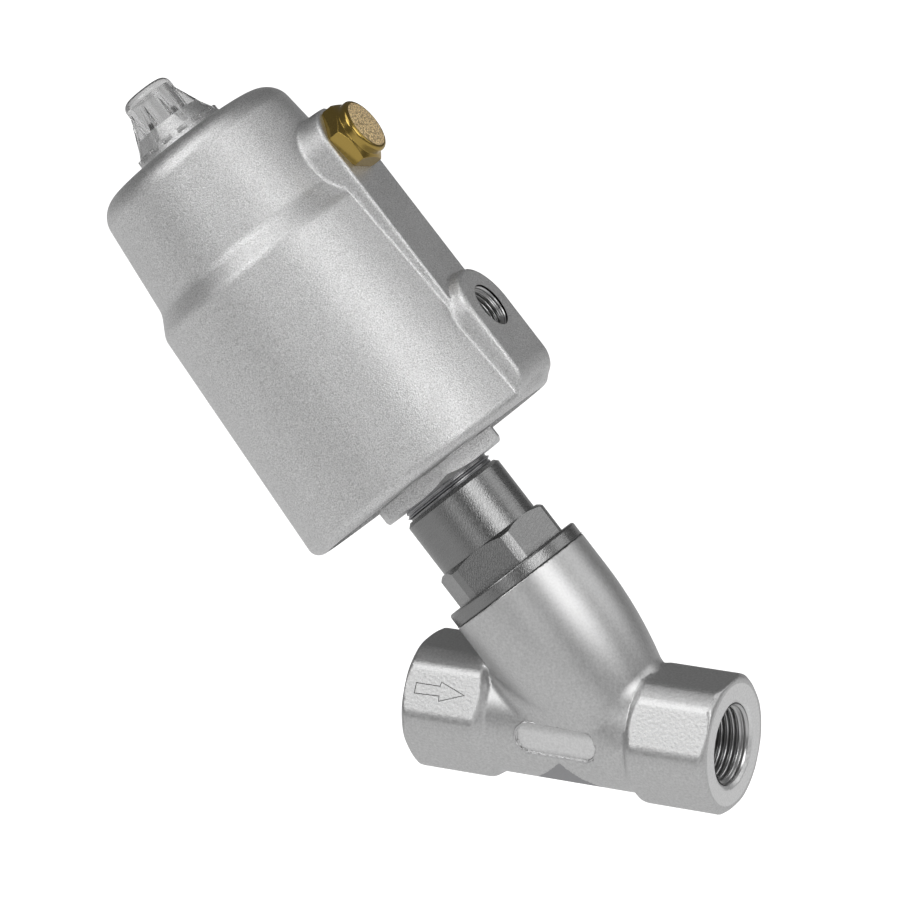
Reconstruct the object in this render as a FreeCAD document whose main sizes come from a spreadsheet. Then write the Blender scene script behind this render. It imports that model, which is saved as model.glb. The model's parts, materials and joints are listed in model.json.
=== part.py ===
"""Pneumatic shut-off valve with an angled seat, driven by a spring-return piston.

The origin is the centre of the inlet port's face. +X runs along the pipe to the outlet, +Z is up,
and the spindle leans back over the inlet. Round pieces on the spindle are drawn in its own frame:
z is the station along the spindle from the point where it meets the pipe's axis.
"""
import FreeCAD, Part
import Sketcher
import math
import os
from types import SimpleNamespace

V = FreeCAD.Vector
DOC = FreeCAD.newDocument("shut_off_valve")
SHEET = DOC.addObject("Spreadsheet::Sheet", "Sizes")

# Every driving size in millimetres or degrees, one name each.
SIZES = {
    # pipe part of the body
    "body_length": 69.0, "crossing": 46.6, "lean": 50.0, "pipe_radius": 12.85,
    "socket_length": 17.0, "socket_flats": 27.0, "socket_corner_radius": 14.45, "socket_step": 1.6,
    "end_chamfer": 0.9, "port_radius": 8.33, "port_depth": 12.0,
    "passage_radius": 7.4, "seat_station": 5.0, "seat_thickness": 3.5, "orifice_radius": 6.0,
    "chamber_floor_radius": 9.4, "chamber_radius": 12.4, "chamber_wide_station": 21.0,
    "neck_top": 38.0, "neck_step": 0.1, "neck_straight_from": 30.0, "neck_foot_radius": 12.3,
    "neck_foot": 5.0, "body_thread_radius": 13.2, "body_thread_from": 24.6,
    # plain oval recess on the near side, and the two flank reliefs that leave a keel
    "oval_start": 25.8, "oval_length": 18.6, "oval_height": 6.7, "oval_depth": 0.45,
    "oval_rise": 0.4, "relief_apex": 35.3, "relief_peak": 10.1, "relief_foot": 6.3,
    "relief_before": 9.6, "relief_after": 8.5, "relief_depth": 1.55, "relief_turn": 38.0,
    # bonnet
    "thread_clearance": 0.05, "fit_clearance": 0.05, "shank_start": 25.2, "flange_radius": 15.8,
    "flange_thickness": 3.0, "bonnet_flats": 24.0, "bonnet_hex_height": 7.3,
    "bonnet_corner_radius": 13.3, "bonnet_hex_turn": 19.2, "tube_radius": 11.5,
    "tube_height": 12.55, "bonnet_thread_radius": 10.0, "bonnet_thread_length": 11.15,
    "gasket_thickness": 0.8, "gasket_outer": 14.7, "undercut": 0.5, "hex_chamfer": 0.9,
    "tube_chamfer": 0.8, "flange_round": 0.6,
    # packing
    "stem_radius": 4.0, "wiper_height": 1.8, "bush_height": 6.0, "bush_wall": 2.5,
    "bonnet_web": 2.5, "stem_gap": 0.3, "packing_radius": 8.0, "disc_spring_thickness": 0.6,
    "disc_spring_rise": 0.4, "washer_height": 1.2, "ring_height": 2.2, "ring_dip": 0.7,
    "gland_height": 9.0, "gland_slot": 1.6, "stack_gap": 0.03,
    # plug
    "stroke": 8.0, "plug_radius": 8.3, "plug_height": 8.0, "plug_boss_radius": 5.6,
    "plug_boss_height": 4.0, "disc_radius": 7.6, "disc_thickness": 2.0, "disc_bore": 2.5,
    "disc_washer_radius": 5.3, "disc_washer_thickness": 1.0, "disc_nut_flats": 8.0,
    "disc_nut_height": 3.0, "pin_radius": 1.0, "pin_station": 15.2, "socket_in_plug": 4.0,
    # actuator base
    "cover_hex_start": 63.0, "cover_hex_flats": 28.0, "cover_hex_corner": 15.9,
    "cover_hex_turn": 10.2, "housing_start": 66.5, "cover_step": 2.2, "ring_recess": 1.5,
    "retainer_thickness": 1.3, "retainer_depth": 1.0, "retainer_width": 3.0, "cover_disc": 6.7,
    "cover_neck_radius": 13.9, "cover_boss_radius": 12.0, "cover_boss_height": 9.5,
    "cover_groove_width": 2.9, "cover_groove_depth": 1.9, "cover_groove_edge": 1.9,
    "seal_ring_height": 1.0, "seal_ring_width": 1.7, "rod_bush_wall": 2.0, "rod_bush_height": 6.0,
    "rod_seal_height": 3.6, "seal_retainer_height": 1.2,
    # cast cylinder housing
    "bore_radius": 25.0, "base_wall": 3.3, "shoulder_wall": 2.4,
    "shoulder_station": 120.8, "shoulder_height": 4.6, "upper_wall": 3.3, "crown_wall": 3.4,
    "top_station": 150.2, "top_edge": 5.0, "base_edge": 2.6, "shoulder_edge": 1.6,
    "bore_end": 117.0, "spring_bore_radius": 21.5, "spring_bore_top_radius": 18.9,
    "top_wall": 6.2, "spine_turn": 11.5, "spine_rise": 1.6, "spine_half_width": 8.4,
    "spine_beyond": 8.3, "boss_rise": 1.6, "boss_half_width": 9.7,
    "boss_top": 95.0, "boss_edge": 1.3, "toe_height": 6.6, "toe_knee": 2.9, "toe_slope": 1.0,
    "toe_drop": 2.4, "control_station": 85.7,
    "control_radius": 4.86, "control_depth": 5.4, "control_drill": 2.5, "runout_step": 0.3,
    "runout_width": 0.4, "vent_drop": 20.4,
    # piston
    "piston_start": 89.0, "piston_height": 12.0, "piston_rim": 4.4, "piston_web": 6.0,
    "hub_radius": 9.5, "hub_height": 8.0, "seal_groove_edge": 2.0, "seal_groove_width": 3.2,
    "seal_groove_depth": 3.0, "guide_groove_edge": 7.6, "guide_width": 3.0, "guide_depth": 1.5,
    "clamp_radius": 3.0, "clamp_shoulder": 90.0, "clamp_length": 18.0, "clamp_washer_radius": 6.4,
    "clamp_washer_thickness": 1.2, "clamp_nut_flats": 10.0, "clamp_nut_height": 5.0,
    # spring
    "spring_mean_radius": 15.0, "spring_wire": 2.8, "spring_turns": 5.5, "seat_plate": 1.2,
    "seat_plate_gap": 1.3,
    # indicator
    "rod_radius": 2.5, "rod_foot_radius": 4.8, "rod_foot_height": 6.0, "rod_top": 152.5,
    "rod_head_radius": 3.4, "rod_head_height": 4.5, "dome_spigot_radius": 7.5,
    "dome_spigot_length": 3.2, "dome_base_radius": 9.9, "dome_base_height": 2.6,
    "dome_column_radius": 5.6, "dome_top": 164.1, "dome_bore": 4.2, "dome_cap": 1.7,
    "dome_round": 1.9, "fin_thickness": 1.1, "fin_foot_radius": 9.4, "fin_top_station": 161.2,
    "fin_count": 8, "notch_count": 16, "notch_width": 1.6, "notch_depth": 0.9, "dome_ring_radius": 0.7,
    # silencer
    "silencer_flats": 13.0, "silencer_hex_height": 3.5, "silencer_thread_length": 5.4,
    "silencer_ring_radius": 6.1, "silencer_ring_height": 2.0, "silencer_bore": 3.2,
    "silencer_shoulder": 0.9, "silencer_corner": 7.5, "silencer_round": 0.8, "silencer_foot": 0.5,
    "sinter_radius": 5.2, "sinter_height": 2.9, "silencer_turn": 16.0,
}


class Size:
    """A length held both as a number and as the expression of sheet cells that gives it."""

    def __init__(self, text, number):
        self.text = text
        self.number = float(number)

    def joined(self, sign, other, number):
        return Size(f"({self.text} {sign} {other.text})", number)

    def __add__(self, other):
        other = as_size(other)
        return self.joined("+", other, self.number + other.number)

    def __sub__(self, other):
        other = as_size(other)
        return self.joined("-", other, self.number - other.number)

    def __mul__(self, other):
        other = as_size(other)
        return self.joined("*", other, self.number * other.number)

    def __truediv__(self, other):
        other = as_size(other)
        return self.joined("/", other, self.number / other.number)


def as_size(value):
    return value if isinstance(value, Size) else Size(f"{float(value):.9g}", value)


for row, (name, value) in enumerate(SIZES.items(), start=1):
    SHEET.set(f"A{row}", name)
    SHEET.set(f"B{row}", str(value))
    SHEET.setAlias(f"B{row}", name)
DOC.recompute()
d = SimpleNamespace(**{name: Size(f"Sizes.{name}", SHEET.get(name)) for name in SIZES})
ZERO = as_size(0)
HALF = 0.5
HEX_CORNER = 1 / math.sqrt(3)
OCTAGON_SIDE = math.sqrt(2) - 1
# How near two stations or radii must be to count as the same.
TOUCH = 1e-3
# A bore's or a pin's length per radius, and how many times its feature's size a cut reaches.
DIAMETER = 2
THROUGH = 3

PARTS = []


def spindle_frame(turn=0.0):
    """The frame with its z along the spindle, turned about it by some degrees."""
    tilt = FreeCAD.Rotation(V(0, 1, 0), d.lean.number - 90)
    return FreeCAD.Placement(V(d.crossing.number, 0, 0), tilt * FreeCAD.Rotation(V(0, 0, 1), turn))


def port_frame(station, height, turn):
    """The frame on the housing's side with its z pointing straight out of the spine."""
    out = FreeCAD.Placement(V(height, 0, station), FreeCAD.Rotation(V(0, 1, 0), 90))
    return spindle_frame(turn).multiply(out)


def new_body(label, place):
    body = DOC.addObject("PartDesign::Body", label)
    body.Label = label
    body.Placement = place
    return body


def keep(item):
    """Marks an object as one of the sub-parts that are written to files."""
    PARTS.append(item)
    return item


def sketch_on(body, role, name, offset=None):
    plane = [feature for feature in body.Origin.OriginFeatures if feature.Role == role][0]
    sketch = body.newObject("Sketcher::SketchObject", f"{body.Name}_{name}")
    sketch.AttachmentSupport = [(plane, "")]
    sketch.MapMode = "FlatFace"
    if offset is not None:
        sketch.AttachmentOffset = offset
    return sketch


def constrain(sketch, *parts, size=None):
    if size is None:
        sketch.addConstraint(Sketcher.Constraint(*parts))
        return
    index = sketch.addConstraint(Sketcher.Constraint(*parts, size.number))
    sketch.setExpression(f"Constraints[{index}]", size.text)


def fix_point(sketch, line, end, point):
    """Ties one end of a line to its two distances from the sketch's origin."""
    across, along = point
    for kind, axis, size in (("DistanceX", -2, across), ("DistanceY", -1, along)):
        if abs(size.number) < 1e-9:
            constrain(sketch, "PointOnObject", line, end, axis)
        else:
            constrain(sketch, kind, -1, 1, line, end, size=size)


def swelling(start, end):
    """An arc from one point to a second one, where it runs on straight along the sketch's vertical."""
    rise, drop = end.y - start.y, end.x - start.x
    radius = (rise * rise + drop * drop) / (2 * drop)
    middle = V(end.x - radius + math.sqrt(radius * radius - rise * rise / 4), (start.y + end.y) / 2, 0)
    return Part.Arc(start, middle, end)


def outline(sketch, points, bowed=None):
    """Draws a closed outline whose corners are pairs of sizes, measured from the origin.

    The side that leaves the corner numbered bowed is an arc that meets the next side smoothly.
    """
    points = [(as_size(across), as_size(along)) for across, along in points]
    spots = [V(across.number, along.number, 0) for across, along in points]
    lines = []
    for place, spot in enumerate(spots):
        side = swelling if place == bowed else Part.LineSegment
        lines.append(sketch.addGeometry(side(spot, spots[(place + 1) % len(spots)])))
    for place, line in enumerate(lines):
        meeting = "Tangent" if place == bowed else "Coincident"
        constrain(sketch, meeting, line, 2, lines[(place + 1) % len(lines)], 1)
        fix_point(sketch, line, 1, points[place])
    return sketch


def circle(sketch, radius, across=ZERO, along=ZERO):
    ring = sketch.addGeometry(Part.Circle(V(across.number, along.number, 0), V(0, 0, 1), radius.number))
    constrain(sketch, "Radius", ring, size=radius)
    fix_point(sketch, ring, 3, (across, along))
    return sketch


def hexagon(sketch, flats):
    """A regular hexagon about the origin with one corner on the sketch's horizontal axis."""
    corner = flats * HEX_CORNER
    turns = [math.radians(60 * k) for k in range(6)]
    spots = [V(corner.number * math.cos(turn), corner.number * math.sin(turn), 0) for turn in turns]
    lines = [sketch.addGeometry(Part.LineSegment(spots[k], spots[(k + 1) % 6])) for k in range(6)]
    ring = sketch.addGeometry(Part.Circle(V(0, 0, 0), V(0, 0, 1), corner.number), True)
    constrain(sketch, "Coincident", ring, 3, -1, 1)
    constrain(sketch, "Radius", ring, size=corner)
    for k in range(6):
        constrain(sketch, "Coincident", lines[k], 2, lines[(k + 1) % 6], 1)
        constrain(sketch, "PointOnObject", lines[k], 1, ring)
        if k:
            constrain(sketch, "Equal", lines[0], lines[k])
    constrain(sketch, "PointOnObject", lines[0], 1, -1)
    return sketch


def turned(body, sketch, cut=False, axis="V_Axis"):
    kind = "PartDesign::Groove" if cut else "PartDesign::Revolution"
    feature = body.newObject(kind, f"{sketch.Name}_turned")
    feature.Profile = sketch
    feature.ReferenceAxis = (sketch, [axis])
    feature.Angle = 360.0
    return feature


def stadium(sketch, start, length, height):
    """A slot with round ends that stands on the sketch's horizontal axis."""
    radius = height * HALF
    left, right = start + radius, start + length - radius
    reach = radius.number
    low = sketch.addGeometry(Part.LineSegment(V(left.number, 0, 0), V(right.number, 0, 0)))
    top = sketch.addGeometry(Part.LineSegment(V(right.number, 2 * reach, 0), V(left.number, 2 * reach, 0)))
    ends = ((right, -math.pi / 2, ((low, 2), (top, 1))), (left, math.pi / 2, ((top, 2), (low, 1))))
    for centre, first, joins in ends:
        whole = Part.Circle(V(centre.number, reach, 0), V(0, 0, 1), reach)
        end = sketch.addGeometry(Part.ArcOfCircle(whole, first, first + math.pi))
        for place, (line, tip) in enumerate(joins, start=1):
            constrain(sketch, "Coincident", line, tip, end, place)
        constrain(sketch, "DistanceX", -1, 1, end, 3, size=centre)
    tips = ((low, 1, (left, ZERO)), (low, 2, (right, ZERO)),
            (top, 1, (right, height)), (top, 2, (left, height)))
    for line, tip, point in tips:
        fix_point(sketch, line, tip, point)
    return sketch


def raised(body, sketch, length, reverse=False, both=False):
    feature = body.newObject("PartDesign::Pad", f"{sketch.Name}_pad")
    feature.Profile = sketch
    feature.setExpression("Length", as_size(length).text)
    feature.Reversed = reverse
    if both:
        feature.Midplane = True
    return feature


def sunk(body, sketch, length, reverse=False, both=False):
    feature = body.newObject("PartDesign::Pocket", f"{sketch.Name}_pocket")
    feature.Profile = sketch
    feature.setExpression("Length", as_size(length).text)
    feature.Reversed = reverse
    if both:
        feature.Midplane = True
    return feature


def around(body, feature, count):
    """Repeats a feature evenly about the body's z axis."""
    pattern = body.newObject("PartDesign::PolarPattern", f"{feature.Name}_pattern")
    pattern.Originals = [feature]
    axis = [item for item in body.Origin.OriginFeatures if item.Role == "Z_Axis"][0]
    pattern.Axis = (axis, [""])
    pattern.Angle = 360.0
    pattern.setExpression("Occurrences", count.text)
    body.Tip = pattern
    return pattern


def eased(body, wanted, radius, chamfer=False):
    """Rounds or chamfers the edges of the body's latest shape that pass a test of their middle."""
    DOC.recompute()
    base = body.Tip
    names = [f"Edge{place}" for place, edge in enumerate(base.Shape.Edges, start=1) if wanted(edge)]
    kind = "PartDesign::Chamfer" if chamfer else "PartDesign::Fillet"
    feature = body.newObject(kind, f"{base.Name}_eased")
    feature.Base = (base, names)
    feature.setExpression("Size" if chamfer else "Radius", radius.text)
    return feature


def ring_edge(radius, station):
    """Tests for a round edge about z with this radius at this station."""
    def test(edge):
        curve = edge.Curve
        if curve.TypeId != "Part::GeomCircle":
            return False
        centre = curve.Center
        on_axis = math.hypot(centre.x, centre.y) < TOUCH
        on_level = abs(centre.z - station.number) < TOUCH
        return on_axis and on_level and abs(curve.Radius - radius.number) < TOUCH
    return test


def turned_piece(label, points, turn=0.0):
    """A piece turned about the spindle from one outline of radius and station."""
    body = keep(new_body(label, spindle_frame(turn)))
    turned(body, outline(sketch_on(body, "XZ_Plane", "profile"), points))
    return body


def ring_points(inner, outer, low, high):
    return [(inner, low), (outer, low), (outer, high), (inner, high)]


def torus_piece(label, mean, wire, station):
    """A ring about the spindle whose eight-sided section stands for a round one."""
    half = wire * OCTAGON_SIDE
    corners = ((wire, half), (half, wire), (half * -1, wire), (wire * -1, half),
               (wire * -1, half * -1), (half * -1, wire * -1), (half, wire * -1), (wire, half * -1))
    return turned_piece(label, [(mean + across, station + along) for across, along in corners])


# Radii and stations that several pieces share.
NECK_RADIUS = d.flange_radius + d.neck_step
SEAT_PLATE_RADIUS = d.spring_bore_top_radius - d.seat_plate_gap
VENT_STATION = d.top_station - d.vent_drop
SPINE_TOP = VENT_STATION + d.spine_beyond
COVER_RADIUS = d.bore_radius + d.cover_step
BASE_RADIUS = COVER_RADIUS + d.base_wall
SHOULDER_RADIUS = d.bore_radius + d.shoulder_wall
UPPER_RADIUS = d.spring_bore_radius + d.upper_wall
TOP_RADIUS = d.spring_bore_top_radius + d.crown_wall
SPINE_FLAT = SHOULDER_RADIUS + d.spine_rise
BOSS_FLAT = BASE_RADIUS + d.boss_rise
PARTITION_TOP = d.seat_station
PARTITION_FOOT = d.seat_station - d.seat_thickness
FLANGE_TOP = d.neck_top + d.flange_thickness
HEX_TOP = FLANGE_TOP + d.bonnet_hex_height
TUBE_TOP = HEX_TOP + d.tube_height
BONNET_TOP = TUBE_TOP + d.bonnet_thread_length
RUNNING_BORE = d.stem_radius + d.fit_clearance
OPEN_BORE = d.stem_radius + d.stem_gap
WIPER_FOOT = d.shank_start + d.undercut
BUSH_FOOT = WIPER_FOOT + d.wiper_height
BUSH_TOP = BUSH_FOOT + d.bush_height
BUSH_RADIUS = d.stem_radius + d.bush_wall
PACKING_FLOOR = BUSH_TOP + d.bonnet_web
DISC_SPRINGS = 4
PACKING_RINGS = 5
SPRING_PITCH = d.disc_spring_thickness + d.disc_spring_rise + d.stack_gap
RING_PITCH = d.ring_height + d.stack_gap
SPRINGS_TOP = PACKING_FLOOR + SPRING_PITCH * DISC_SPRINGS
WASHER_TOP = SPRINGS_TOP + d.washer_height
RINGS_TOP = WASHER_TOP + d.stack_gap + RING_PITCH * PACKING_RINGS + d.ring_dip
GLAND_TOP = RINGS_TOP + d.gland_height
SHANK_RADIUS = d.body_thread_radius - d.thread_clearance


def half_space(name, low, high):
    """A block in the spindle's frame that spans two stations."""
    block = DOC.addObject("Part::Box", name)
    reach = d.body_length
    block.setExpression("Length", reach.text)
    block.setExpression("Width", reach.text)
    block.setExpression("Height", (high - low).text)
    away = -HALF * reach.number
    corner = FreeCAD.Placement(V(away, away, low.number), FreeCAD.Rotation())
    block.Placement = spindle_frame().multiply(corner)
    return block


def pipe_cylinder(name, start, length, radius):
    rod = DOC.addObject("Part::Cylinder", name)
    rod.setExpression("Radius", radius.text)
    rod.setExpression("Height", length.text)
    rod.Placement = FreeCAD.Placement(V(start.number, 0, 0), FreeCAD.Rotation(V(0, 1, 0), 90))
    return rod


def joined(kind, name, pieces):
    """A boolean of whole pieces: a union of many, or the first with the second taken out or in common."""
    result = DOC.addObject(kind, name)
    if kind == "Part::MultiFuse":
        result.Shapes = pieces
    else:
        result.Base, result.Tool = pieces
    return result


def valve_body_outside():
    body = new_body("body_outside", FreeCAD.Placement())
    far_socket = d.body_length - d.socket_length
    bar = hexagon(sketch_on(body, "YZ_Plane", "bar"), d.socket_flats)
    raised(body, bar, d.body_length)
    # Turning the hexagonal bar leaves a socket at each end, round at its corners, and the pipe between.
    clear = d.socket_flats
    turned(body, outline(sketch_on(body, "XZ_Plane", "pipe"), [
        (0, d.socket_corner_radius - d.end_chamfer), (d.end_chamfer, d.socket_corner_radius),
        (d.socket_length, d.socket_corner_radius), (d.socket_length + d.socket_step, d.pipe_radius),
        (far_socket - d.socket_step, d.pipe_radius), (far_socket, d.socket_corner_radius),
        (d.body_length - d.end_chamfer, d.socket_corner_radius),
        (d.body_length, d.socket_corner_radius - d.end_chamfer), (d.body_length, clear), (0, clear)]),
        cut=True, axis="H_Axis")
    # The neck, drawn on a plane turned so that its vertical axis is the spindle.
    lean = FreeCAD.Placement(V(d.crossing.number, 0, 0), FreeCAD.Rotation(V(0, 0, 1), 90 - d.lean.number))
    neck = [
        (0, 0), (d.neck_foot_radius, 0), (d.neck_foot_radius, d.neck_foot),
        (NECK_RADIUS, d.neck_straight_from), (NECK_RADIUS, d.neck_top), (0, d.neck_top),
    ]
    turned(body, outline(sketch_on(body, "XZ_Plane", "neck", lean), neck, bowed=2))
    # The bare oval on the near side, and a three-cornered relief low on each flank.
    floor = V(0, (d.oval_rise - d.oval_height * HALF).number, (d.pipe_radius - d.oval_depth).number)
    level = FreeCAD.Placement(floor, FreeCAD.Rotation())
    oval = stadium(sketch_on(body, "XZ_Plane", "oval", level), d.oval_start, d.oval_length, d.oval_height)
    sunk(body, oval, d.pipe_radius, reverse=True)
    turn = FreeCAD.Rotation(V(1, 0, 0), d.relief_turn.number)
    floor = turn.multVec(V(0, -d.relief_foot.number, d.pipe_radius.number - d.relief_depth.number))
    corners = outline(sketch_on(body, "XZ_Plane", "relief", FreeCAD.Placement(floor, turn)), [
        (d.relief_apex - d.relief_before, 0), (d.relief_apex + d.relief_after, 0),
        (d.relief_apex, d.relief_peak)])
    flank = sunk(body, corners, d.pipe_radius, reverse=True)
    mirror = body.newObject("PartDesign::Mirrored", "far_relief")
    mirror.Originals = [flank]
    plane = [item for item in body.Origin.OriginFeatures if item.Role == "XZ_Plane"][0]
    mirror.MirrorPlane = (plane, [""])
    body.Tip = mirror
    return body


def passages():
    """The air space in the body: both ports, the leaning chamber and the orifice between them."""
    reach = d.neck_top
    inlet = joined("Part::Common", "inlet_passage", [
        pipe_cylinder("inlet_run", ZERO, d.body_length, d.passage_radius),
        half_space("above_partition", PARTITION_TOP, PARTITION_TOP + reach)])
    outlet = joined("Part::Common", "outlet_passage", [
        pipe_cylinder("outlet_run", ZERO, d.body_length, d.passage_radius),
        half_space("below_partition", PARTITION_FOOT - reach, PARTITION_FOOT)])
    chamber = new_body("chamber", spindle_frame())
    turned(chamber, outline(sketch_on(chamber, "XZ_Plane", "chamber"), [
        (0, PARTITION_TOP), (d.chamber_floor_radius, PARTITION_TOP),
        (d.chamber_radius, d.chamber_wide_station), (d.chamber_radius, d.body_thread_from),
        (d.body_thread_radius, d.body_thread_from),
        (d.body_thread_radius, d.neck_top - d.gasket_thickness),
        (d.gasket_outer, d.neck_top - d.gasket_thickness), (d.gasket_outer, d.neck_top + d.undercut),
        (0, d.neck_top + d.undercut)]))
    orifice = new_body("orifice", spindle_frame())
    turned(orifice, outline(sketch_on(orifice, "XZ_Plane", "orifice"), [
        (0, 0), (d.orifice_radius, 0), (d.orifice_radius, PARTITION_TOP + d.undercut),
        (0, PARTITION_TOP + d.undercut)]))
    ports = new_body("port_bores", FreeCAD.Placement())
    for name, face, sign in (("inlet", ZERO, 1), ("outlet", d.body_length, -1)):
        turned(ports, outline(sketch_on(ports, "XZ_Plane", f"{name}_bore"), [
            (face, 0), (face, d.port_radius),
            (face + d.port_depth * sign, d.port_radius),
            (face + (d.port_depth + d.port_radius - d.passage_radius) * sign, d.passage_radius),
            (face + (d.port_depth + d.port_radius - d.passage_radius) * sign, 0)]), axis="H_Axis")
    return joined("Part::MultiFuse", "air_space", [inlet, outlet, chamber, orifice, ports])


def valve_body():
    """The investment-cast body: two hexagonal sockets, a pipe and the leaning neck."""
    outside = valve_body_outside()
    body = joined("Part::Cut", "valve_body", [outside, passages()])
    body.Label = "valve_body"
    return keep(body)


def bonnet():
    """The turned bonnet: threaded shank, flange, hexagon, tube and the thread of the actuator."""
    body = keep(new_body("bonnet", spindle_frame()))
    turned(body, outline(sketch_on(body, "XZ_Plane", "profile"), [
        (BUSH_RADIUS, d.shank_start), (SHANK_RADIUS, d.shank_start), (SHANK_RADIUS, d.neck_top),
        (d.flange_radius, d.neck_top), (d.flange_radius, FLANGE_TOP),
        (d.bonnet_corner_radius, FLANGE_TOP), (d.bonnet_corner_radius, HEX_TOP - d.hex_chamfer),
        (d.bonnet_flats * HALF, HEX_TOP), (d.tube_radius, HEX_TOP),
        (d.tube_radius, TUBE_TOP - d.tube_chamfer), (d.tube_radius - d.tube_chamfer, TUBE_TOP),
        (d.bonnet_thread_radius, TUBE_TOP),
        (d.bonnet_thread_radius, BONNET_TOP), (d.packing_radius, BONNET_TOP),
        (d.packing_radius, PACKING_FLOOR), (OPEN_BORE, PACKING_FLOOR), (OPEN_BORE, BUSH_TOP),
        (BUSH_RADIUS, BUSH_TOP)]))
    twist = FreeCAD.Rotation(V(0, 0, 1), d.bonnet_hex_turn.number)
    turn = FreeCAD.Placement(V(0, 0, FLANGE_TOP.number), twist)
    flats = hexagon(sketch_on(body, "XY_Plane", "flats", turn), d.bonnet_flats)
    circle(flats, d.flange_radius)
    sunk(body, flats, d.bonnet_hex_height, reverse=True)
    eased(body, ring_edge(d.flange_radius, FLANGE_TOP), d.flange_round)
    return body


def packing():
    """The spring-loaded stem packing in the bonnet, from the wiper up to the gland."""
    turned_piece("stem_wiper", ring_points(RUNNING_BORE, BUSH_RADIUS, WIPER_FOOT, BUSH_FOOT))
    turned_piece("lower_guide_bush", ring_points(RUNNING_BORE, BUSH_RADIUS, BUSH_FOOT, BUSH_TOP))
    outer = d.packing_radius - d.fit_clearance
    springs = keep(new_body("disc_springs", spindle_frame()))
    for place in range(DISC_SPRINGS):
        low = PACKING_FLOOR + SPRING_PITCH * place
        rise_in, rise_out = (d.disc_spring_rise, ZERO) if place % 2 else (ZERO, d.disc_spring_rise)
        turned(springs, outline(sketch_on(springs, "XZ_Plane", f"spring_{place}"), [
            (OPEN_BORE, low + rise_in), (outer, low + rise_out),
            (outer, low + rise_out + d.disc_spring_thickness),
            (OPEN_BORE, low + rise_in + d.disc_spring_thickness)]))
    middle = (RUNNING_BORE + outer) * HALF
    turned_piece("packing_washer", [
        (RUNNING_BORE, SPRINGS_TOP), (outer, SPRINGS_TOP), (outer, WASHER_TOP),
        (middle, WASHER_TOP + d.ring_dip), (RUNNING_BORE, WASHER_TOP)])
    rings = keep(new_body("packing_rings", spindle_frame()))
    for place in range(PACKING_RINGS):
        low = WASHER_TOP + d.stack_gap + RING_PITCH * place
        turned(rings, outline(sketch_on(rings, "XZ_Plane", f"ring_{place}"), [
            (RUNNING_BORE, low), (middle, low + d.ring_dip), (outer, low),
            (outer, low + d.ring_height), (middle, low + d.ring_height + d.ring_dip),
            (RUNNING_BORE, low + d.ring_height)]))
    return rings


def gland():
    """The screwed gland that holds the packing down, with a driver slot across its top."""
    body = keep(new_body("packing_gland", spindle_frame()))
    outer = d.packing_radius - d.fit_clearance
    middle = (RUNNING_BORE + outer) * HALF
    turned(body, outline(sketch_on(body, "XZ_Plane", "profile"), [
        (RUNNING_BORE, RINGS_TOP), (outer, RINGS_TOP), (outer, GLAND_TOP), (RUNNING_BORE, GLAND_TOP)]))
    slot = outline(sketch_on(body, "XZ_Plane", "slot"), [
        (middle, GLAND_TOP - d.gland_slot), (outer + d.undercut, GLAND_TOP - d.gland_slot),
        (outer + d.undercut, GLAND_TOP + d.undercut), (middle, GLAND_TOP + d.undercut)])
    cut = sunk(body, slot, d.gland_slot, both=True)
    around(body, cut, as_size(2))
    return body


PLUG_FOOT = PARTITION_TOP
DISC_TOP = PLUG_FOOT + d.disc_thickness
PLUG_TOP = PLUG_FOOT + d.plug_height
PLUG_BOSS_TOP = PLUG_TOP + d.plug_boss_height
STEM_FOOT = PLUG_TOP - d.socket_in_plug
PIN_BORE = d.pin_radius + d.fit_clearance * HALF


def cross_hole(body, station, radius, reach, cut=True):
    """A round cross hole or pin through the spindle."""
    sketch = circle(sketch_on(body, "XZ_Plane", "cross"), radius, ZERO, station)
    return sunk(body, sketch, reach, both=True) if cut else raised(body, sketch, reach, both=True)


def plug_set():
    """The plug that carries the soft seat disc, with its washer, nut and cross pin."""
    plug = keep(new_body("plug", spindle_frame()))
    bore = d.stem_radius + d.thread_clearance
    spigot = d.disc_bore - d.thread_clearance
    spigot_foot = PLUG_FOOT - d.disc_washer_thickness - d.disc_nut_height
    recess = d.disc_radius + d.fit_clearance
    turned(plug, outline(sketch_on(plug, "XZ_Plane", "profile"), [
        (0, spigot_foot), (spigot, spigot_foot), (spigot, DISC_TOP), (recess, DISC_TOP),
        (recess, PLUG_FOOT + d.undercut), (d.plug_radius, PLUG_FOOT + d.undercut),
        (d.plug_radius, PLUG_TOP), (d.plug_boss_radius, PLUG_TOP),
        (d.plug_boss_radius, PLUG_BOSS_TOP), (bore, PLUG_BOSS_TOP), (bore, STEM_FOOT), (0, STEM_FOOT)]))
    cross_hole(plug, d.pin_station, PIN_BORE, d.plug_radius * DIAMETER)
    turned_piece("seat_disc", ring_points(d.disc_bore, d.disc_radius, PLUG_FOOT, DISC_TOP))
    washer_foot = PLUG_FOOT - d.disc_washer_thickness
    turned_piece("disc_washer", ring_points(d.disc_bore, d.disc_washer_radius, washer_foot, PLUG_FOOT))
    nut_piece("disc_nut", d.disc_nut_flats, washer_foot - d.disc_nut_height, washer_foot, d.disc_bore)
    pin = keep(new_body("plug_pin", spindle_frame()))
    cross_hole(pin, d.pin_station, d.pin_radius, d.plug_boss_radius * DIAMETER, cut=False)


def nut_piece(label, flats, low, high, bore):
    """A hexagon nut on the spindle."""
    body = keep(new_body(label, spindle_frame()))
    level = FreeCAD.Placement(V(0, 0, low.number), FreeCAD.Rotation())
    sketch = circle(hexagon(sketch_on(body, "XY_Plane", "flats", level), flats), bore)
    raised(body, sketch, high - low)
    return body


CLAMP_TOP = d.clamp_shoulder + d.clamp_length


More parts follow.
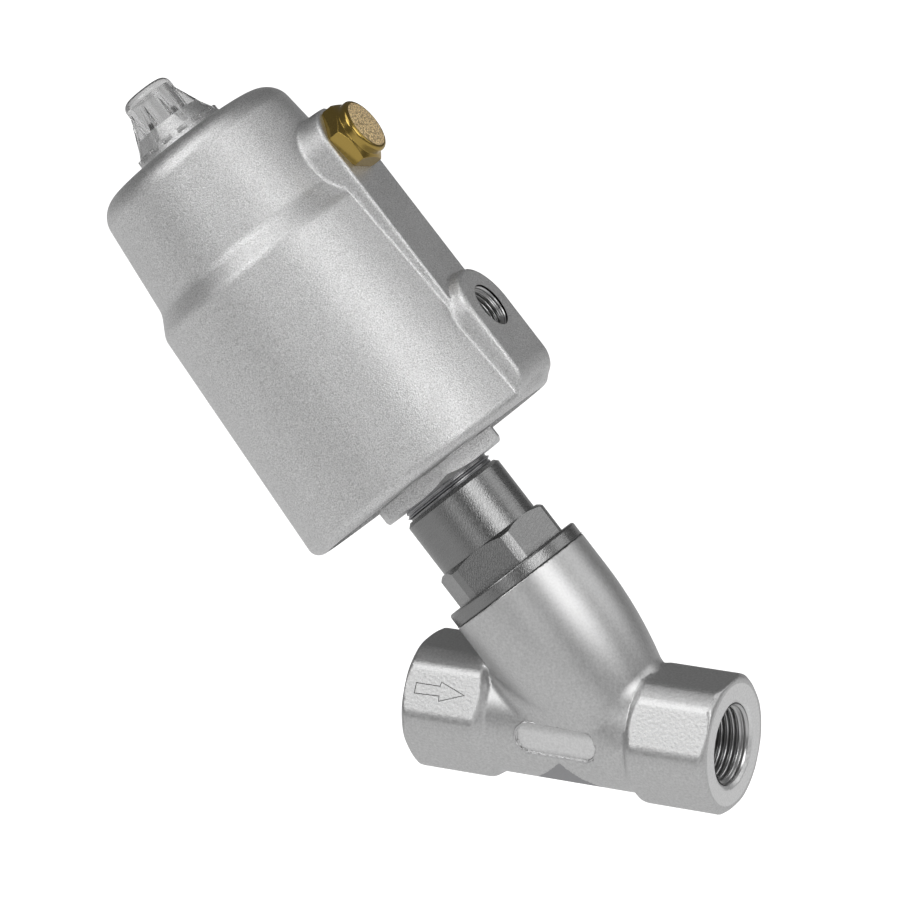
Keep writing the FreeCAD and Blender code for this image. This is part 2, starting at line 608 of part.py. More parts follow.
def stem():
    """The ground stem: plug end with its pin hole, and a thinner threaded end for the piston."""
    body = keep(new_body("stem", spindle_frame()))
    neck = d.clamp_radius - d.thread_clearance
    turned(body, outline(sketch_on(body, "XZ_Plane", "profile"), [
        (0, STEM_FOOT), (d.stem_radius, STEM_FOOT), (d.stem_radius, d.clamp_shoulder),
        (neck, d.clamp_shoulder), (neck, CLAMP_TOP), (0, CLAMP_TOP)]))
    cross_hole(body, d.pin_station, PIN_BORE, d.plug_radius * DIAMETER)
    return body


RETAINER_FOOT = d.housing_start + d.ring_recess
RETAINER_TOP = RETAINER_FOOT + d.retainer_thickness
COVER_TOP = RETAINER_TOP + d.cover_disc
COVER_BOSS_TOP = COVER_TOP + d.cover_boss_height
COVER_BORE_TOP = BONNET_TOP + d.seal_ring_height
ROD_BUSH_FOOT = COVER_BORE_TOP + d.undercut * 2
ROD_BUSH_TOP = ROD_BUSH_FOOT + d.rod_bush_height
ROD_BUSH_RADIUS = d.stem_radius + d.rod_bush_wall
ROD_SEAL_TOP = ROD_BUSH_TOP + d.rod_seal_height
COVER_RIM = COVER_RADIUS - d.fit_clearance
COVER_GROOVE_FOOT = RETAINER_TOP + d.cover_groove_edge


def base_cover():
    """The turned cover that closes the cylinder below, with the hexagon that turns the actuator."""
    body = keep(new_body("base_cover", spindle_frame()))
    thread = d.bonnet_thread_radius + d.thread_clearance
    groove = COVER_RIM - d.cover_groove_depth
    turned(body, outline(sketch_on(body, "XZ_Plane", "profile"), [
        (thread, d.cover_hex_start), (d.cover_hex_flats * HALF, d.cover_hex_start),
        (d.cover_hex_corner, d.cover_hex_start + d.hex_chamfer),
        (d.cover_hex_corner, d.housing_start), (d.cover_neck_radius, d.housing_start),
        (d.cover_neck_radius, RETAINER_TOP), (COVER_RIM, RETAINER_TOP), (COVER_RIM, COVER_GROOVE_FOOT),
        (groove, COVER_GROOVE_FOOT), (groove, COVER_GROOVE_FOOT + d.cover_groove_width),
        (COVER_RIM, COVER_GROOVE_FOOT + d.cover_groove_width), (COVER_RIM, COVER_TOP),
        (d.cover_boss_radius, COVER_TOP), (d.cover_boss_radius, COVER_BOSS_TOP),
        (ROD_BUSH_RADIUS, COVER_BOSS_TOP), (ROD_BUSH_RADIUS, ROD_BUSH_FOOT),
        (OPEN_BORE, ROD_BUSH_FOOT), (OPEN_BORE, COVER_BORE_TOP), (thread, COVER_BORE_TOP)]))
    twist = FreeCAD.Rotation(V(0, 0, 1), d.cover_hex_turn.number)
    turn = FreeCAD.Placement(V(0, 0, d.cover_hex_start.number), twist)
    flats = hexagon(sketch_on(body, "XY_Plane", "flats", turn), d.cover_hex_flats)
    circle(flats, d.cover_hex_corner * THROUGH)
    sunk(body, flats, d.housing_start - d.cover_hex_start, reverse=True)
    return body


def base_seals():
    """What sits in the base cover, and the ring that holds the cover in the cylinder."""
    wall = d.bonnet_thread_radius
    turned_piece("bonnet_seal", ring_points(wall - d.seal_ring_width, wall, BONNET_TOP, COVER_BORE_TOP))
    turned_piece("rod_bush", ring_points(RUNNING_BORE, ROD_BUSH_RADIUS, ROD_BUSH_FOOT, ROD_BUSH_TOP))
    lip = (RUNNING_BORE + ROD_BUSH_RADIUS) * HALF
    turned_piece("rod_seal", [
        (RUNNING_BORE, ROD_BUSH_TOP), (ROD_BUSH_RADIUS, ROD_BUSH_TOP), (ROD_BUSH_RADIUS, ROD_SEAL_TOP),
        (lip, ROD_BUSH_TOP + d.rod_seal_height * HALF), (RUNNING_BORE, ROD_SEAL_TOP)])
    turned_piece("rod_seal_retainer", ring_points(
        OPEN_BORE, ROD_BUSH_RADIUS, ROD_SEAL_TOP, ROD_SEAL_TOP + d.seal_retainer_height))
    wire = d.cover_groove_depth * HALF
    torus_piece("base_cover_oring", COVER_RIM - wire, wire, COVER_GROOVE_FOOT + d.cover_groove_width * HALF)
    ring = keep(new_body("retaining_ring", spindle_frame(d.spine_turn.number)))
    outer = COVER_RADIUS + d.retainer_depth - d.fit_clearance
    turned(ring, outline(sketch_on(ring, "XZ_Plane", "profile"), ring_points(
        outer - d.retainer_width, outer, RETAINER_FOOT, RETAINER_TOP)))
    gap = outline(sketch_on(ring, "XZ_Plane", "gap"), ring_points(
        outer - d.retainer_width * DIAMETER, outer + d.undercut,
        RETAINER_FOOT - d.undercut, RETAINER_TOP + d.undercut))
    sunk(ring, gap, d.retainer_width * THROUGH, both=True)


SHOULDER_TOP = d.shoulder_station + d.shoulder_height
CEILING = d.top_station - d.top_wall
BORE_CONE_TOP = d.bore_end + d.shoulder_height


def arch(sketch, half_width, foot, top):
    """An upright with a round head: sides at the half width, the head's crown at the top."""
    spring = top - half_width
    w, low, high = half_width.number, foot.number, spring.number
    base = sketch.addGeometry(Part.LineSegment(V(-w, low, 0), V(w, low, 0)))
    right = sketch.addGeometry(Part.LineSegment(V(w, low, 0), V(w, high, 0)))
    head = sketch.addGeometry(Part.ArcOfCircle(Part.Circle(V(0, high, 0), V(0, 0, 1), w), 0, math.pi))
    left = sketch.addGeometry(Part.LineSegment(V(-w, high, 0), V(-w, low, 0)))
    constrain(sketch, "Coincident", base, 2, right, 1)
    constrain(sketch, "Coincident", left, 2, base, 1)
    constrain(sketch, "Tangent", right, 2, head, 1)
    constrain(sketch, "Tangent", head, 2, left, 1)
    constrain(sketch, "Horizontal", base)
    constrain(sketch, "PointOnObject", head, 3, -2)
    fix_point(sketch, base, 2, (half_width, foot))
    constrain(sketch, "DistanceY", -1, 1, head, 3, size=spring)
    constrain(sketch, "Radius", head, size=half_width)
    return sketch


def housing():
    """The cast cylinder: tapered wall, shoulder, closed top, the spine with both air connections."""
    body = keep(new_body("cylinder_housing", spindle_frame(d.spine_turn.number)))
    turned(body, outline(sketch_on(body, "XZ_Plane", "outside"), [
        (0, d.housing_start), (BASE_RADIUS, d.housing_start),
        (SHOULDER_RADIUS, d.shoulder_station), (UPPER_RADIUS, SHOULDER_TOP),
        (TOP_RADIUS, d.top_station), (0, d.top_station)]))
    eased(body, ring_edge(TOP_RADIUS, d.top_station), d.top_edge)
    eased(body, ring_edge(BASE_RADIUS, d.housing_start), d.base_edge)
    eased(body, ring_edge(SHOULDER_RADIUS, d.shoulder_station), d.shoulder_edge)
    eased(body, ring_edge(UPPER_RADIUS, SHOULDER_TOP), d.shoulder_edge)
    foot = d.housing_start
    spine = arch(sketch_on(body, "YZ_Plane", "spine"), d.spine_half_width, foot, SPINE_TOP)
    raised(body, spine, SPINE_FLAT)
    boss = arch(sketch_on(body, "YZ_Plane", "boss"), d.boss_half_width, foot, d.boss_top)
    raised(body, boss, BOSS_FLAT)
    eased(body, face_rim(BOSS_FLAT, foot), d.boss_edge)
    knee = BOSS_FLAT - d.toe_slope
    clear = BOSS_FLAT + d.toe_slope
    toe = outline(sketch_on(body, "XZ_Plane", "toe"), [
        (BOSS_FLAT, foot + d.toe_height), (knee, foot + d.toe_knee),
        (BOSS_FLAT - d.toe_drop, foot - d.undercut),
        (clear, foot - d.undercut), (clear, foot + d.toe_height)])
    sunk(body, toe, d.boss_half_width * THROUGH, both=True)
    turned(body, outline(sketch_on(body, "XZ_Plane", "inside"), [
        (0, d.housing_start - d.undercut), (COVER_RADIUS, d.housing_start - d.undercut),
        (COVER_RADIUS, RETAINER_FOOT), (COVER_RADIUS + d.retainer_depth, RETAINER_FOOT),
        (COVER_RADIUS + d.retainer_depth, RETAINER_TOP), (COVER_RADIUS, RETAINER_TOP),
        (COVER_RADIUS, COVER_TOP), (d.bore_radius, COVER_TOP), (d.bore_radius, d.bore_end),
        (d.spring_bore_radius, BORE_CONE_TOP), (d.spring_bore_top_radius, CEILING),
        (0, CEILING)]), cut=True)
    spigot = d.dome_spigot_radius + d.thread_clearance
    turned(body, outline(sketch_on(body, "XZ_Plane", "crown"), [
        (0, CEILING - d.undercut), (d.rod_radius + d.fit_clearance, CEILING - d.undercut),
        (d.rod_radius + d.fit_clearance, d.top_station - d.dome_spigot_length),
        (spigot, d.top_station - d.dome_spigot_length), (spigot, d.top_station + d.undercut),
        (0, d.top_station + d.undercut)]), cut=True)
    for name, flat, station, depth in (
            ("control_thread", BOSS_FLAT, d.control_station, d.control_depth),
            ("vent_thread", SPINE_FLAT, VENT_STATION, SPINE_FLAT - d.spring_bore_top_radius)):
        level = FreeCAD.Placement(V(0, 0, flat.number), FreeCAD.Rotation())
        sketch = circle(sketch_on(body, "YZ_Plane", name, level), d.control_radius, ZERO, station)
        sunk(body, sketch, depth)
    # A run-out groove ends the air port's thread above its floor.
    level = FreeCAD.Placement(V(0, 0, (BOSS_FLAT - d.control_depth).number), FreeCAD.Rotation())
    runout = circle(sketch_on(body, "YZ_Plane", "control_runout", level),
                    d.control_radius + d.runout_step, ZERO, d.control_station)
    sunk(body, runout, d.runout_width)
    drill = circle(sketch_on(body, "YZ_Plane", "control_drill"), d.control_drill, ZERO, d.control_station)
    sunk(body, drill, BOSS_FLAT, reverse=True)
    return body


def face_rim(height, foot):
    """Tests for an edge that lies in the flat at this height, its foot edge left out."""
    def test(edge):
        box = edge.BoundBox
        return (abs(box.XMin - height.number) < TOUCH and abs(box.XMax - height.number) < TOUCH
                and box.ZMax > foot.number + TOUCH)
    return test


PISTON_TOP = d.piston_start + d.piston_height
HUB_TOP = d.clamp_shoulder + d.hub_height
WEB_TOP = d.piston_start + d.piston_web
PISTON_RADIUS = d.bore_radius - d.fit_clearance
CLAMP_WASHER_TOP = HUB_TOP + d.clamp_washer_thickness
CLAMP_NUT_TOP = CLAMP_WASHER_TOP + d.clamp_nut_height


def piston_set():
    """The piston with its lip seal and guide ring, clamped on the stem by a washer and a nut."""
    piston = keep(new_body("piston", spindle_frame()))
    rim = PISTON_RADIUS - d.piston_rim
    seal_foot = d.piston_start + d.seal_groove_edge
    seal_floor = PISTON_RADIUS - d.seal_groove_depth
    guide_foot = d.piston_start + d.guide_groove_edge
    guide_floor = PISTON_RADIUS - d.guide_depth
    bore = d.clamp_radius
    turned(piston, outline(sketch_on(piston, "XZ_Plane", "profile"), [
        (d.stem_radius + d.thread_clearance, d.piston_start), (PISTON_RADIUS, d.piston_start),
        (PISTON_RADIUS, seal_foot), (seal_floor, seal_foot),
        (seal_floor, seal_foot + d.seal_groove_width), (PISTON_RADIUS, seal_foot + d.seal_groove_width),
        (PISTON_RADIUS, guide_foot), (guide_floor, guide_foot), (guide_floor, guide_foot + d.guide_width),
        (PISTON_RADIUS, guide_foot + d.guide_width), (PISTON_RADIUS, PISTON_TOP), (rim, PISTON_TOP),
        (rim, WEB_TOP), (d.hub_radius, WEB_TOP), (d.hub_radius, HUB_TOP), (bore, HUB_TOP),
        (bore, d.clamp_shoulder), (d.stem_radius + d.thread_clearance, d.clamp_shoulder)]))
    middle = (seal_floor + PISTON_RADIUS) * HALF
    turned_piece("piston_seal", [
        (seal_floor, seal_foot), (middle, seal_foot + d.seal_groove_width * HALF),
        (PISTON_RADIUS, seal_foot),
        (PISTON_RADIUS, seal_foot + d.seal_groove_width), (seal_floor, seal_foot + d.seal_groove_width)])
    turned_piece("piston_guide_ring", ring_points(
        guide_floor, PISTON_RADIUS, guide_foot, guide_foot + d.guide_width))
    turned_piece("piston_washer", ring_points(bore, d.clamp_washer_radius, HUB_TOP, CLAMP_WASHER_TOP))
    nut_piece("piston_nut", d.clamp_nut_flats, CLAMP_WASHER_TOP, CLAMP_NUT_TOP, bore)


SPRING_SEAT_FOOT = CEILING - d.seat_plate


def spring_set():
    """The closing spring and the pressed plate that centres it under the crown."""
    turned_piece("spring_seat", [
        (d.rod_foot_radius + d.stem_gap, SPRING_SEAT_FOOT), (SEAT_PLATE_RADIUS, SPRING_SEAT_FOOT),
        (SEAT_PLATE_RADIUS, CEILING), (d.rod_foot_radius + d.stem_gap, CEILING)])
    spring = DOC.addObject("Part::Feature", "main_spring")
    spring.Label = "main_spring"
    wire = d.spring_wire.number * HALF
    low = WEB_TOP.number + wire
    high = SPRING_SEAT_FOOT.number - wire
    spring.Shape = coil(d.spring_mean_radius.number, wire, low, high, d.spring_turns.number)
    spring.Placement = spindle_frame()
    keep(spring)


def coil(radius, wire, low, high, turns):
    """A helical wire of eight-sided section between two stations about z."""
    helix = Part.makeHelix((high - low) / turns, high - low, radius)
    helix.translate(V(0, 0, low))
    sides = 8
    turns_about = [2 * math.pi * k / sides for k in range(sides + 1)]
    corners = [V(radius + wire * math.cos(turn), 0, low + wire * math.sin(turn)) for turn in turns_about]
    return Part.Wire(helix).makePipeShell([Part.makePolygon(corners)], True, True)


def indicator():
    """The position rod on the stem's end, and the clear ribbed dome it rises into."""
    rod = keep(new_body("indicator_rod", spindle_frame()))
    foot = CLAMP_NUT_TOP
    bore = d.clamp_radius
    turned(rod, outline(sketch_on(rod, "XZ_Plane", "profile"), [
        (bore, foot), (d.rod_foot_radius, foot), (d.rod_foot_radius, foot + d.rod_foot_height),
        (d.rod_radius, foot + d.rod_foot_height), (d.rod_radius, d.rod_top), (0, d.rod_top),
        (0, CLAMP_TOP + d.undercut), (bore, CLAMP_TOP + d.undercut)]))
    dome = keep(new_body("indicator_dome", spindle_frame(d.spine_turn.number)))
    spigot_foot = d.top_station - d.dome_spigot_length
    base_top = d.top_station + d.dome_base_height
    turned(dome, outline(sketch_on(dome, "XZ_Plane", "profile"), [
        (d.dome_bore, spigot_foot), (d.dome_spigot_radius, spigot_foot),
        (d.dome_spigot_radius, d.top_station),
        (d.dome_base_radius, d.top_station), (d.dome_base_radius, base_top),
        (d.dome_column_radius, base_top), (d.dome_column_radius, d.dome_top), (0, d.dome_top),
        (0, d.dome_top - d.dome_cap), (d.dome_bore, d.dome_top - d.dome_cap)]))
    eased(dome, ring_edge(d.dome_column_radius, d.dome_top), d.dome_round)
    middle = (d.dome_bore + d.dome_column_radius) * HALF
    fin = raised(dome, outline(sketch_on(dome, "XZ_Plane", "fin"), [
        (middle, base_top - d.undercut), (d.fin_foot_radius, base_top - d.undercut),
        (d.fin_foot_radius, base_top), (d.dome_column_radius, d.fin_top_station),
        (middle, d.fin_top_station)]), d.fin_thickness, both=True)
    around(dome, fin, d.fin_count)
    notch = sunk(dome, outline(sketch_on(dome, "XZ_Plane", "notch"), ring_points(
        d.dome_base_radius - d.notch_depth, d.dome_base_radius + d.undercut,
        d.top_station + d.dome_ring_radius, base_top + d.undercut)), d.notch_width, both=True)
    around(dome, notch, d.notch_count)
    return dome


def silencer():
    """The brass exhaust silencer in the upper hole, and its sintered disc."""
    place = port_frame(VENT_STATION.number, SPINE_FLAT.number, d.spine_turn.number)
    place = place.multiply(FreeCAD.Placement(V(), FreeCAD.Rotation(V(0, 0, 1), d.silencer_turn.number)))
    body = keep(new_body("silencer_body", place))
    hex_top = d.silencer_hex_height
    ring_top = hex_top + d.silencer_ring_height
    raised(body, hexagon(sketch_on(body, "XY_Plane", "flats"), d.silencer_flats), hex_top)
    rim = d.silencer_ring_radius
    away = d.silencer_corner + d.silencer_shoulder
    turned(body, outline(sketch_on(body, "XZ_Plane", "shoulder"), [
        (d.silencer_corner, d.silencer_foot), (d.silencer_corner, hex_top - d.silencer_shoulder),
        (rim, hex_top), (rim, hex_top + d.undercut), (away, hex_top + d.undercut),
        (away, -d.undercut.number),
        (d.silencer_corner - d.silencer_foot, -d.undercut.number)]), cut=True)
    raised(body, circle(sketch_on(body, "XY_Plane", "ring"), rim), ring_top)
    eased(body, ring_edge(rim, ring_top), d.silencer_round)
    shank = circle(sketch_on(body, "XY_Plane", "shank"), d.control_radius - d.thread_clearance)
    raised(body, shank, d.silencer_thread_length, reverse=True)
    bore = circle(sketch_on(body, "XY_Plane", "bore"), d.silencer_bore)
    sunk(body, bore, ring_top * THROUGH, both=True)
    level = FreeCAD.Placement(V(0, 0, ring_top.number), FreeCAD.Rotation())
    recess = circle(sketch_on(body, "XY_Plane", "recess", level), d.sinter_radius)
    sunk(body, recess, d.sinter_height)
    disc = keep(new_body("silencer_disc", place))
    floor = ring_top - d.sinter_height
    turned(disc, outline(sketch_on(disc, "XZ_Plane", "profile"), [
        (0, floor), (d.sinter_radius, floor), (d.sinter_radius, ring_top),
        (d.sinter_radius * HALF, ring_top + d.stem_gap), (0, ring_top + d.stem_gap)]))
    return body


def gasket():
    return turned_piece("bonnet_gasket", ring_points(
        d.body_thread_radius, d.gasket_outer, d.neck_top - d.gasket_thickness, d.neck_top))


def check_everything():
    """Stops on any object that failed to compute, or any sub-part without a sound solid."""
    for item in DOC.Objects:
        bad = [state for state in item.State if state in ("Invalid", "Error")]
        if bad:
            raise RuntimeError(f"{item.Name} is {bad}")
    for item in PARTS:
        shape = item.Shape
        if shape.isNull() or not shape.isValid() or not shape.Solids:
            raise RuntimeError(f"{item.Label} has no sound solid")


def main():
    valve_body()
    gasket()
    bonnet()
    packing()
    gland()
    plug_set()
    stem()
    base_cover()
    base_seals()
    housing()
    piston_set()
    spring_set()
    indicator()
    silencer()
    DOC.recompute()
    check_everything()
    os.makedirs("parts", exist_ok=True)
    for item in PARTS:
        item.Shape.exportStep(f"parts/{item.Label}.step")
        print(f"{item.Label:20s} {len(item.Shape.Solids):3d} {item.Shape.Volume:12.2f}")


main()
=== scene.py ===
"""Looks of a pneumatic shut-off valve: blasted cast cylinder, satin steel body, brass silencer.

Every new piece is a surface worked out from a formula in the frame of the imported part. Points
on the spindle are told by their station along it, from where it meets the pipe's axis, and by
their turn about it, from the direction that the spine of the cylinder faces.
"""
import bpy
import json
import math
import numpy as np
from bpy.props import FloatProperty, FloatVectorProperty, IntProperty, PointerProperty
from mathutils import Matrix, Vector


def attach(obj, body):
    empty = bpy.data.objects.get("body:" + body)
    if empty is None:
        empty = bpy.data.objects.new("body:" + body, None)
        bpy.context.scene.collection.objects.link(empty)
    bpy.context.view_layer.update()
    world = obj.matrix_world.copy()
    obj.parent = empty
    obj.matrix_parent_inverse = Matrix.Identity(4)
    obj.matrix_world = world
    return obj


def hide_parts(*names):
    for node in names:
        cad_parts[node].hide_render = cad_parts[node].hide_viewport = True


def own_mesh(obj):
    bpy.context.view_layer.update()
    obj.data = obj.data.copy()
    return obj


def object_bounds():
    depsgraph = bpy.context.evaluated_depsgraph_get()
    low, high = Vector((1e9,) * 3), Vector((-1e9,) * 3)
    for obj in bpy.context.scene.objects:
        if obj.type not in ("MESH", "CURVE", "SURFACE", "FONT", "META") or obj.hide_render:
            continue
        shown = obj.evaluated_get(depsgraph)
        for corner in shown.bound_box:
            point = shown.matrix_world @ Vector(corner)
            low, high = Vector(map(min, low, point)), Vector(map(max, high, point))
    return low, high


bl_info = {
    "name": "Shut-off valve looks",
    "version": (1, 0, 0),
    "blender": (4, 5, 0),
    "location": "3D View > Sidebar > Valve",
    "description": "Dresses a packed shut-off valve and sets up its studio",
    "category": "Object",
}

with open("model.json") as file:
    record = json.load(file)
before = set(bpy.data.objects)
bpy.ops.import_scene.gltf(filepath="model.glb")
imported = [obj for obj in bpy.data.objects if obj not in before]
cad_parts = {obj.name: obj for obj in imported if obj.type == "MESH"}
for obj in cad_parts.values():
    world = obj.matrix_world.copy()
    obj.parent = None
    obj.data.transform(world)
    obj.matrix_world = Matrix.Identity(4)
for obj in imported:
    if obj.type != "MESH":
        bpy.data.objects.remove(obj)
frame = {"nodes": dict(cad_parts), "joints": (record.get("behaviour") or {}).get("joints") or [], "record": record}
CAD_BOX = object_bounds()
MM = 0.001
VALVE = "valve"
MOUNTS = {mount["name"]: mount for mount in frame["record"]["mounts"]}
STEM_TRAVEL = frame["joints"][0]
HAIR = 0.01

# The spindle's own frame: along it, out of the spine, and across.
UP = np.array(STEM_TRAVEL["axis"], float)
OUT = np.array(MOUNTS["control_port"]["axis"], float)
SIDE = np.cross(UP, OUT)
CROSSING = np.array((46.6 * MM, 0.0, 0.0))


def spindle_point(out, side, station):
    """Millimetres in the spindle's frame to metres in the part's frame, for whole arrays."""
    out, side, station = np.broadcast_arrays(out, side, station)
    local = np.stack((out, side, station), axis=-1) * MM
    return CROSSING + local @ np.stack((OUT, SIDE, UP))


def turned_point(radius, turn, station):
    """The point at a radius, a turn in radians and a station, for whole arrays."""
    return spindle_point(radius * np.cos(turn), radius * np.sin(turn), station)


def reach(node, direction, origin=CROSSING):
    """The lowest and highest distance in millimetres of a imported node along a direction."""
    mesh = frame["nodes"][node].data
    spots = np.empty(len(mesh.vertices) * 3, np.float32)
    mesh.vertices.foreach_get("co", spots)
    along = (spots.reshape(-1, 3) - origin) @ np.array(direction) / MM
    return float(along.min()), float(along.max())


def grid_faces(rows, columns, wrap_rows=False, wrap_columns=False):
    """Four-sided faces of a grid of points, counted row by row, closed on itself where asked."""
    row = np.arange(rows if wrap_rows else rows - 1)[:, None]
    column = np.arange(columns if wrap_columns else columns - 1)[None, :]
    next_row = (row + 1) % rows
    next_column = (column + 1) % columns
    corners = np.broadcast_arrays(row * columns + column, row * columns + next_column,
                                  next_row * columns + next_column, next_row * columns + column)
    return np.stack(corners, axis=-1).reshape(-1, 4)


def add_piece(name, points, faces, body, slot, smooth=True, normals=None):
    """Makes a mesh object of points in metres and faces in the material of a slot, and hangs it on
    a body."""
    points = np.asarray(points, np.float32).reshape(-1, 3)
    used, packed = np.unique(faces, return_inverse=True)
    points = points[used]
    faces = packed.reshape(faces.shape)
    mesh = bpy.data.meshes.new(name)
    mesh.vertices.add(len(points))
    mesh.vertices.foreach_set("co", points.ravel())
    mesh.loops.add(faces.size)
    mesh.loops.foreach_set("vertex_index", faces.astype(np.int32).ravel())
    mesh.polygons.add(len(faces))
    mesh.polygons.foreach_set("loop_start", np.arange(0, faces.size, faces.shape[1], dtype=np.int32))
    mesh.update(calc_edges=True)
    mesh.validate()
    mesh.polygons.foreach_set("use_smooth", np.full(len(mesh.polygons), smooth))
    if normals is not None:
        mesh.normals_split_custom_set_from_vertices(np.asarray(normals, np.float32).reshape(-1, 3)[used])
    mesh.materials.append(material_set()[slot])
    piece = bpy.data.objects.new(name, mesh)
    bpy.context.scene.collection.objects.link(piece)
    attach(piece, body)
    return piece


# Surfaces of solids told by a signed distance, in millimetres and for whole arrays.
HALVINGS, NET_LAYERS, NET_SLIDES = 40, 24, 5


def round_both(one, two, radius):
    """The shared part of two solids with its edge rounded to a radius."""
    inner = np.minimum(-radius, np.maximum(one, two))
    return inner + np.hypot(np.maximum(one + radius, 0), np.maximum(two + radius, 0))


def round_either(one, two, radius):
    """Two solids joined, with the corner between them filled to a radius."""
    outer = np.maximum(radius, np.minimum(one, two))
    return outer - np.hypot(np.maximum(radius - one, 0), np.maximum(radius - two, 0))


def surface_along(field, starts, steps, longest):
    """Where rays from inside a solid leave it, by halvings between in and out."""
    low = np.zeros(starts.shape[:-1])
    high = np.full(starts.shape[:-1], longest)
    for _ in range(HALVINGS):
        middle = (low + high) / 2
        inside = field(starts + steps * middle[..., None]) < 0
        low = np.where(inside, middle, low)
        high = np.where(inside, high, middle)
    return starts + steps * low[..., None]


def slopes(field, spots, step=0.02):
    """The direction in which a distance grows fastest, from small steps both ways."""
    rises = []
    for axis in np.eye(3) * step:
        rises.append(field(spots + axis) - field(spots - axis))
    slope = np.stack(rises, axis=-1)
    return slope / np.maximum(np.linalg.norm(slope, axis=-1, keepdims=True), 1e-9)


def net_around(field, low, high, cell):
    """Wraps the surface of a distance field in four-sided faces.

    The space is cut into cubes. Each cube that the surface crosses gets one point, at the middle of
    the crossings on its edges, and each cube edge that crosses joins the points of its four cubes.
    Then the points slide down the field's slope onto the surface itself.
    """
    axes = [np.arange(low[k], high[k] + cell, cell) for k in range(3)]
    shape = tuple(len(axis) for axis in axes)
    values = np.empty(shape)
    for first in range(0, shape[0], NET_LAYERS):
        layers = slice(first, first + NET_LAYERS)
        values[layers] = field(np.stack(np.meshgrid(axes[0][layers], axes[1], axes[2], indexing="ij"), axis=-1))
    cubes = tuple(size - 1 for size in shape)
    total = np.zeros(cubes + (3,))
    count = np.zeros(cubes)
    crossings = []
    for axis in range(3):
        near = [slice(None)] * 3
        far = [slice(None)] * 3
        near[axis] = slice(0, -1)
        far[axis] = slice(1, None)
        one, two = values[tuple(near)], values[tuple(far)]
        crossing = (one < 0) != (two < 0)
        part = np.where(crossing, one / np.where(crossing, one - two, 1.0), 0.0)
        crossings.append((crossing, one < 0))
        others = [k for k in range(3) if k != axis]
        for shift_one in (0, 1):
            for shift_two in (0, 1):
                window = [slice(None)] * 3
                for other, shift in zip(others, (shift_one, shift_two)):
                    window[other] = slice(shift, cubes[other] + shift)
                hit = crossing[tuple(window)]
                count += hit
                total[..., axis] += part[tuple(window)]
                total[..., others[0]] += hit * shift_one
                total[..., others[1]] += hit * shift_two
    used = count > 0
    number = np.full(cubes, -1)
    number[used] = np.arange(used.sum())
    corner = np.stack(np.nonzero(used), axis=-1)
    spots = np.array(low) + cell * (corner + total[used] / count[used][:, None])
    faces = []
    for axis, (crossing, inside) in enumerate(crossings):
        one, two = [k for k in range(3) if k != axis]
        spot = np.stack(np.nonzero(crossing), axis=-1)
        above = (spot[:, one] > 0) & (spot[:, two] > 0)
        below = (spot[:, one] < cubes[one]) & (spot[:, two] < cubes[two])
        spot = spot[above & below]
        quad = []
        for back_one, back_two in ((0, 0), (1, 0), (1, 1), (0, 1)):
            cube = spot.copy()
            cube[:, one] -= back_one
            cube[:, two] -= back_two
            quad.append(number[tuple(cube.T)])
        quad = np.stack(quad, axis=-1)
        turned = inside[tuple(spot.T)] == (axis == 1)
        quad[turned] = quad[turned][:, ::-1]
        faces.append(quad)
    for _ in range(NET_SLIDES):
        spots -= slopes(field, spots) * np.clip(field(spots), -cell, cell)[:, None]
    return spots, np.concatenate(faces)


# Materials. The body's orange peel changes along the pipe, and a painted highlight changes out from its axis; both
# in millimetres.
LEFT_FLATS_END, RIGHT_FLATS_START, PAINTED_HIGHLIGHT_DEPTHS = (16.0, 18.0), (51.0, 53.0), (12.45, 12.7)
FIRST_COLOUR, SECOND_COLOUR, MIXED_COLOUR = 6, 7, 2


def new_material(name, **sockets):
    """A Principled material with plain values set on the shader's own sockets."""
    material = bpy.data.materials.new(name)
    material.use_nodes = True
    shader = material.node_tree.nodes["Principled BSDF"]
    for label, value in sockets.items():
        shader.inputs[label.replace("_", " ")].default_value = value
    return material


def add_node(material, kind, links=(), **values):
    """Adds a shader node, sets its properties and links pairs of input name and output socket."""
    node = material.node_tree.nodes.new(kind)
    for label, value in values.items():
        setattr(node, label, value)
    for label, source in links:
        if isinstance(source, bpy.types.NodeSocket):
            material.node_tree.links.new(source, node.inputs[label])
        else:
            node.inputs[label].default_value = source
    return node


def place_of(material, stretch=None, turn=None):
    """Object coordinates, turned into the spindle's frame and stretched where asked."""
    spot = add_node(material, "ShaderNodeTexCoord").outputs["Object"]
    if turn is not None:
        spot = add_node(material, "ShaderNodeMapping", [("Vector", spot), ("Rotation", turn)]).outputs[0]
    if stretch is not None:
        spot = add_node(material, "ShaderNodeMapping", [("Vector", spot), ("Scale", stretch)]).outputs[0]
    return spot


def noise_of(material, spot, scale, detail=3.0, roughness=0.5):
    """Smooth noise between 0 and 1."""
    return add_node(material, "ShaderNodeTexNoise", [
        ("Vector", spot), ("Scale", scale), ("Detail", detail), ("Roughness", roughness)]).outputs[0]


def spread(material, value, low, high, to_low, to_high):
    """Maps a value from one range to another, held at the ends."""
    return add_node(material, "ShaderNodeMapRange", [
        ("Value", value), ("From Min", low), ("From Max", high),
        ("To Min", to_low), ("To Max", to_high)]).outputs[0]


def shade(material, factor, dark, light):
    """A colour between two colours."""
    mix = add_node(material, "ShaderNodeMix", data_type="RGBA")
    material.node_tree.links.new(factor, mix.inputs[0])
    mix.inputs[FIRST_COLOUR].default_value = dark
    mix.inputs[SECOND_COLOUR].default_value = light
    return mix.outputs[MIXED_COLOUR]


def combined(material, operation, one, two):
    """Two values added or multiplied."""
    return add_node(material, "ShaderNodeMath", [(0, one), (1, two)], operation=operation).outputs[0]


def bump(material, height, depth, normal=None):
    """A normal that leans with a height, over another bump where asked."""
    links = [("Height", height), ("Distance", depth)]
    if normal is not None:
        links.append(("Normal", normal))
    return add_node(material, "ShaderNodeBump", links).outputs[0]


